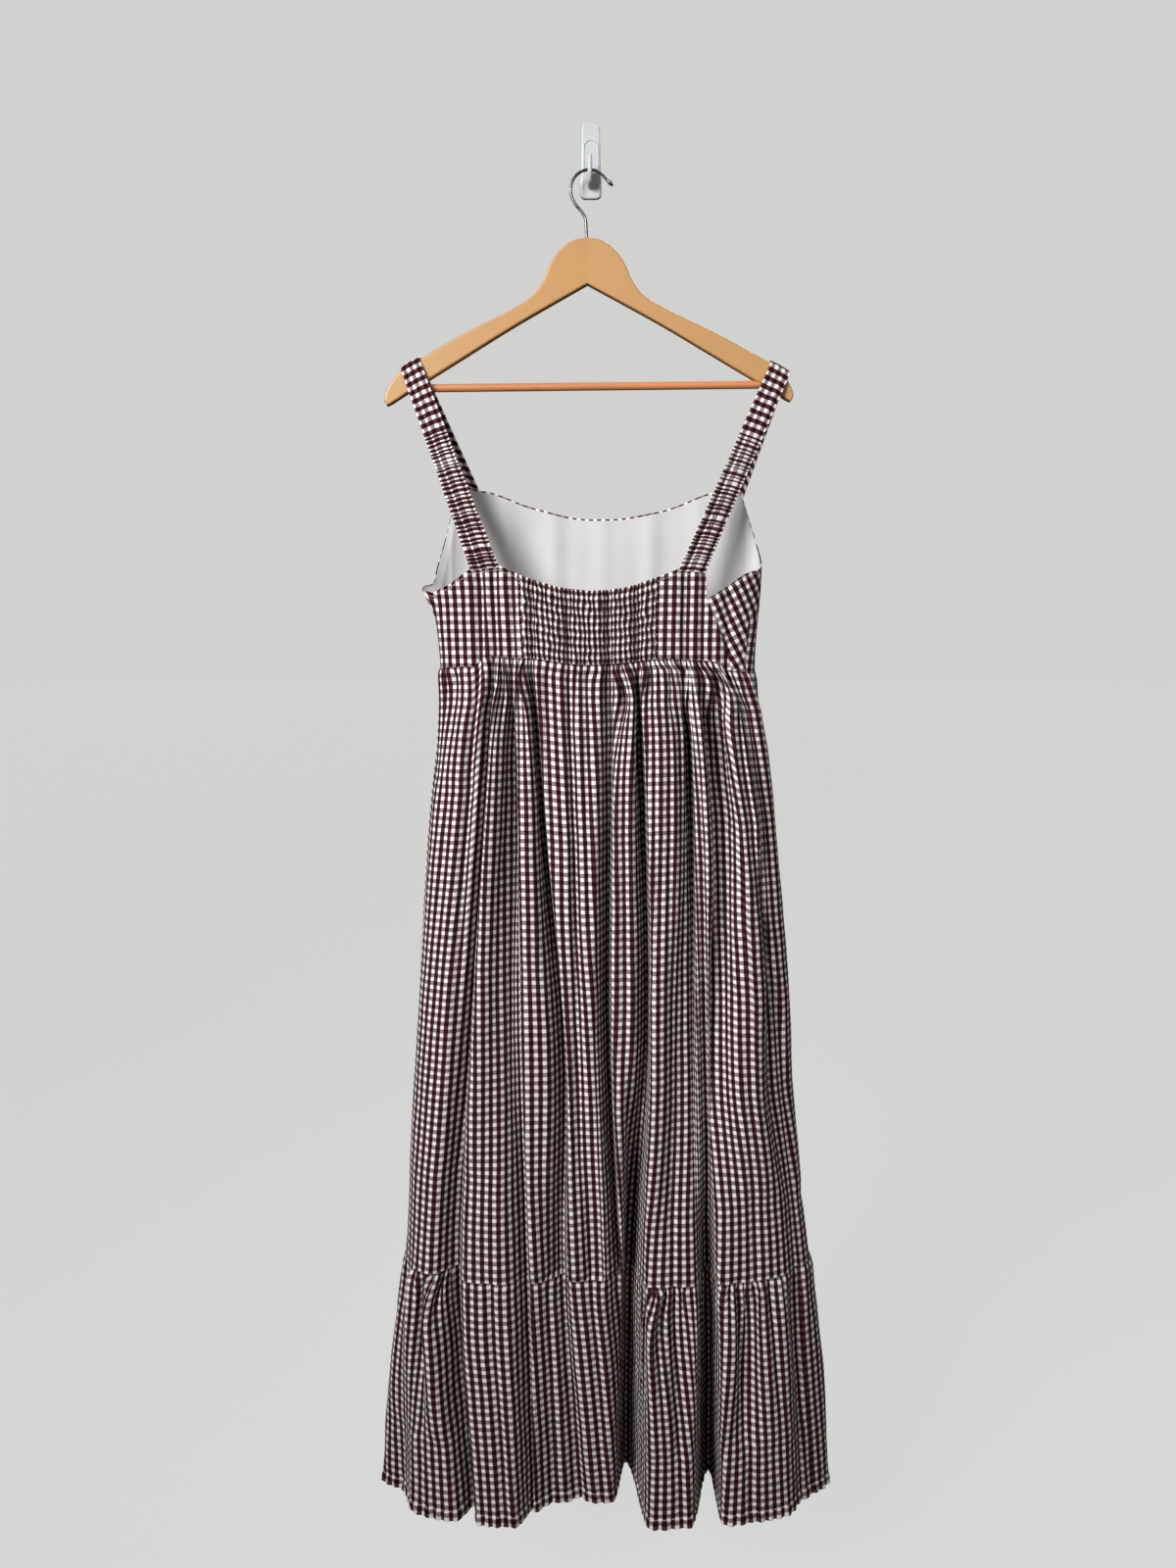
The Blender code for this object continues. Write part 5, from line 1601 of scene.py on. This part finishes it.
def add_lamp(name, power, spread_angle):
    spot, size = LAMPS[name]
    data = bpy.data.lights.new(name, "AREA")
    data.size = size
    data.energy = power
    data.spread = spread_angle
    lamp = bpy.data.objects.new(name, data)
    lamp.location = spot
    lamp.rotation_euler = (LAMP_AIM - Vector(spot)).to_track_quat("-Z", "Y").to_euler()
    lamp.visible_camera = False
    bpy.context.scene.collection.objects.link(lamp)


def place_camera(stage):
    data = bpy.data.cameras.new("camera")
    data.lens = stage.lens
    data.sensor_width = SENSOR
    camera = bpy.data.objects.new("camera", data)
    camera.location = stage.camera
    camera.rotation_euler = (math.radians(90.0) - stage.camera_tilt, 0.0, 0.0)
    bpy.context.scene.collection.objects.link(camera)
    bpy.context.scene.camera = camera


def make_stage():
    stage = bpy.context.scene.dress_stage
    bpy.context.scene.view_settings.view_transform = "Standard"
    make_floor(stage)
    light_surroundings(stage)
    for name, power in (("window", stage.window_power), ("fill", stage.fill_power),
                        ("behind", stage.behind_power)):
        add_lamp(name, power, stage.light_spread)
    place_camera(stage)


class DressSizes(bpy.types.PropertyGroup):
    """Sizes of the cloth and its sewing."""
    check: bpy.props.FloatProperty(name="Check", description="Width of one dark and one light band",
                                   default=0.0085, unit="LENGTH")
    thread: bpy.props.FloatProperty(name="Thread", description="Pitch of the yarn",
                                    default=0.00042, unit="LENGTH")
    cloth: bpy.props.FloatProperty(name="Cloth", description="Thickness of the gingham",
                                   default=0.0008, unit="LENGTH")
    lining: bpy.props.FloatProperty(name="Lining", description="Thickness of the lining",
                                    default=0.0005, unit="LENGTH")
    strap: bpy.props.FloatProperty(name="Strap", description="Thickness of a strap",
                                   default=0.0018, unit="LENGTH")
    hem: bpy.props.FloatProperty(name="Hem", description="Depth of the double hem",
                                 default=0.011, unit="LENGTH")
    shirring_rows: bpy.props.IntProperty(name="Shirring rows", description="Bands between rows of elastic",
                                         default=10)
    shirring_gathers: bpy.props.IntProperty(name="Shirring gathers", description="Gathers across the panel",
                                            default=30)
    shirring_puff: bpy.props.FloatProperty(name="Shirring puff", description="How far the shirring stands up",
                                           default=0.0040, unit="LENGTH")
    ruche: bpy.props.FloatProperty(name="Ruche", description="Pitch of the tucks in a strap",
                                   default=0.0049, unit="LENGTH")
    ruche_puff: bpy.props.FloatProperty(name="Ruche puff", description="How far the tucks stand up",
                                        default=0.0018, unit="LENGTH")
    stitch: bpy.props.FloatProperty(name="Stitch", description="Length of a stitch",
                                    default=0.0026, unit="LENGTH")
    stitch_pitch: bpy.props.FloatProperty(name="Stitch pitch", description="From one stitch to the next",
                                          default=0.0036, unit="LENGTH")
    stitch_thread: bpy.props.FloatProperty(name="Sewing thread", description="Radius of the sewing thread",
                                           default=0.00022, unit="LENGTH")


class DressColours(bpy.types.PropertyGroup):
    """Colours of the dress and its hanger."""
    dark_yarn: bpy.props.FloatVectorProperty(name="Dark yarn", description="Where two dark bands cross",
                                             subtype="COLOR", size=4, default=(0.018, 0.0022, 0.0035, 1.0))
    half_yarn: bpy.props.FloatVectorProperty(name="Half", description="Where a dark band crosses a light one",
                                             subtype="COLOR", size=4, default=(0.098, 0.033, 0.037, 1.0))
    light_yarn: bpy.props.FloatVectorProperty(name="Light yarn", description="Where two light bands cross",
                                              subtype="COLOR", size=4, default=(0.86, 0.83, 0.83, 1.0))
    # The lining's white is darkened well below white cotton: painted shade for the shade that falls on it
    # inside the front.
    lining: bpy.props.FloatVectorProperty(name="Lining", description="The white lining",
                                          subtype="COLOR", size=4, default=(0.57, 0.56, 0.565, 1.0))
    wood: bpy.props.FloatVectorProperty(name="Wood", description="The hanger's arms",
                                        subtype="COLOR", size=4, default=(0.515, 0.280, 0.102, 1.0))
    bar: bpy.props.FloatVectorProperty(name="Bar", description="The hanger's dowel",
                                       subtype="COLOR", size=4, default=(0.62, 0.235, 0.088, 1.0))
    thread: bpy.props.FloatVectorProperty(name="Thread", description="Sewing thread",
                                          subtype="COLOR", size=4, default=(0.70, 0.64, 0.64, 1.0))
    # Both are far darker than chrome: painted reflection of dark surroundings that the plain stage does not
    # have.
    chrome: bpy.props.FloatVectorProperty(name="Chrome", description="The wire hook",
                                          subtype="COLOR", size=4, default=(0.17, 0.17, 0.18, 1.0))
    chrome_dark: bpy.props.FloatVectorProperty(name="Dull chrome", description="Its duller spots",
                                               subtype="COLOR", size=4, default=(0.12, 0.12, 0.13, 1.0))
    plastic: bpy.props.FloatVectorProperty(name="Plastic", description="The wall hook",
                                           subtype="COLOR", size=4, default=(0.56, 0.58, 0.60, 1.0))


class DressStage(bpy.types.PropertyGroup):
    """Floor, light and camera."""
    clearance: bpy.props.FloatProperty(name="Clearance", description="From the hem down to the floor",
                                       default=0.16, unit="LENGTH")
    floor_radius: bpy.props.FloatProperty(name="Floor radius", description="Radius of the floor",
                                          default=30.0, unit="LENGTH")
    floor_colour: bpy.props.FloatVectorProperty(name="Floor", description="Colour of the floor",
                                                subtype="COLOR", size=4, default=(0.09, 0.09, 0.088, 1.0))
    world_colour: bpy.props.FloatVectorProperty(name="Surroundings", description="Colour of the surroundings",
                                                subtype="COLOR", size=4, default=(0.80, 0.80, 0.79, 1.0))
    world_strength: bpy.props.FloatProperty(name="Surroundings' light", description="Their strength",
                                            default=0.23)
    backdrop: bpy.props.FloatProperty(name="Backdrop", description="Brightness seen behind",
                                      default=0.80)
    floor_glow: bpy.props.FloatProperty(name="Floor glow", description="Added to the floor as seen",
                                        default=0.771)
    window_power: bpy.props.FloatProperty(name="Window", description="Power of the light on the left",
                                          default=16.0)
    light_spread: bpy.props.FloatProperty(name="Spread", description="How wide the lights spread",
                                          subtype="ANGLE", default=math.radians(62.0))
    fill_power: bpy.props.FloatProperty(name="Fill", description="Power of the light on the right",
                                        default=3.0)
    behind_power: bpy.props.FloatProperty(name="Behind", description="Power of the light behind",
                                          default=7.0)
    lens: bpy.props.FloatProperty(name="Lens", description="Focal length in millimetres", default=28.0)
    camera: bpy.props.FloatVectorProperty(name="Camera", description="Where the camera stands",
                                          subtype="TRANSLATION", size=3, default=(-0.003, -1.385, -0.505))
    camera_tilt: bpy.props.FloatProperty(name="Tilt", description="How far the camera looks down",
                                         subtype="ANGLE", default=math.radians(7.0))


class DRESS_OT_skirt(bpy.types.Operator):
    """Build the back and front of the gathered skirt"""
    bl_idname = "dress.skirt"
    bl_label = "Skirt"

    def execute(self, context):
        make_skirt()
        return {"FINISHED"}


class DRESS_OT_ruffle(bpy.types.Operator):
    """Build the back and front of the tier below the skirt"""
    bl_idname = "dress.ruffle"
    bl_label = "Ruffle"

    def execute(self, context):
        make_ruffle()
        return {"FINISHED"}


class DRESS_OT_back_bodice(bpy.types.Operator):
    """Build the plain side backs and the shirred middle"""
    bl_idname = "dress.back_bodice"
    bl_label = "Back bodice"

    def execute(self, context):
        make_back_bodice()
        make_shirred_panel()
        return {"FINISHED"}


class DRESS_OT_front_bodice(bpy.types.Operator):
    """Build the front bodice and its white lining"""
    bl_idname = "dress.front_bodice"
    bl_label = "Front bodice"

    def execute(self, context):
        make_front()
        make_lining()
        return {"FINISHED"}


class DRESS_OT_straps(bpy.types.Operator):
    """Build both straps, ruched behind and plain in front"""
    bl_idname = "dress.straps"
    bl_label = "Straps"

    def execute(self, context):
        for side in ("left", "right"):
            make_strap(side)
        return {"FINISHED"}


class DRESS_OT_stitching(bpy.types.Operator):
    """Sew the hem, the edges and the rows of elastic"""
    bl_idname = "dress.stitching"
    bl_label = "Stitching"

    def execute(self, context):
        make_stitching()
        return {"FINISHED"}


class DRESS_OT_hanger(bpy.types.Operator):
    """Finish the wooden hanger, its wire hook and the wall hook"""
    bl_idname = "dress.hanger"
    bl_label = "Hanger and hooks"

    def execute(self, context):
        make_hanger()
        make_wire_hook()
        make_wall_hook()
        return {"FINISHED"}


class DRESS_OT_stage(bpy.types.Operator):
    """Set the floor, the light and the camera"""
    bl_idname = "dress.stage"
    bl_label = "Stage"

    def execute(self, context):
        make_stage()
        return {"FINISHED"}


OPERATORS = (DRESS_OT_skirt, DRESS_OT_ruffle, DRESS_OT_back_bodice, DRESS_OT_front_bodice, DRESS_OT_straps,
             DRESS_OT_stitching, DRESS_OT_hanger, DRESS_OT_stage)


class DRESS_PT_panel(bpy.types.Panel):
    """Lists the pieces of the dress"""
    bl_idname = "DRESS_PT_panel"
    bl_label = "Dress"
    bl_space_type = "VIEW_3D"
    bl_region_type = "UI"
    bl_category = "Dress"

    def draw(self, context):
        for operator in OPERATORS:
            self.layout.operator(operator.bl_idname)


PROPERTIES = (("dress_sizes", DressSizes), ("dress_colours", DressColours), ("dress_stage", DressStage))
CLASSES = (DressSizes, DressColours, DressStage) + OPERATORS + (DRESS_PT_panel,)


def register():
    for item in CLASSES:
        bpy.utils.register_class(item)
    for name, group in PROPERTIES:
        setattr(bpy.types.Scene, name, bpy.props.PointerProperty(type=group))


def unregister():
    for name, _ in PROPERTIES:
        delattr(bpy.types.Scene, name)
    for item in reversed(CLASSES):
        bpy.utils.unregister_class(item)


def main():
    register()
    for operator in OPERATORS:
        getattr(bpy.ops.dress, operator.bl_idname.split(".")[1])()


if __name__ == "__main__":
    main()
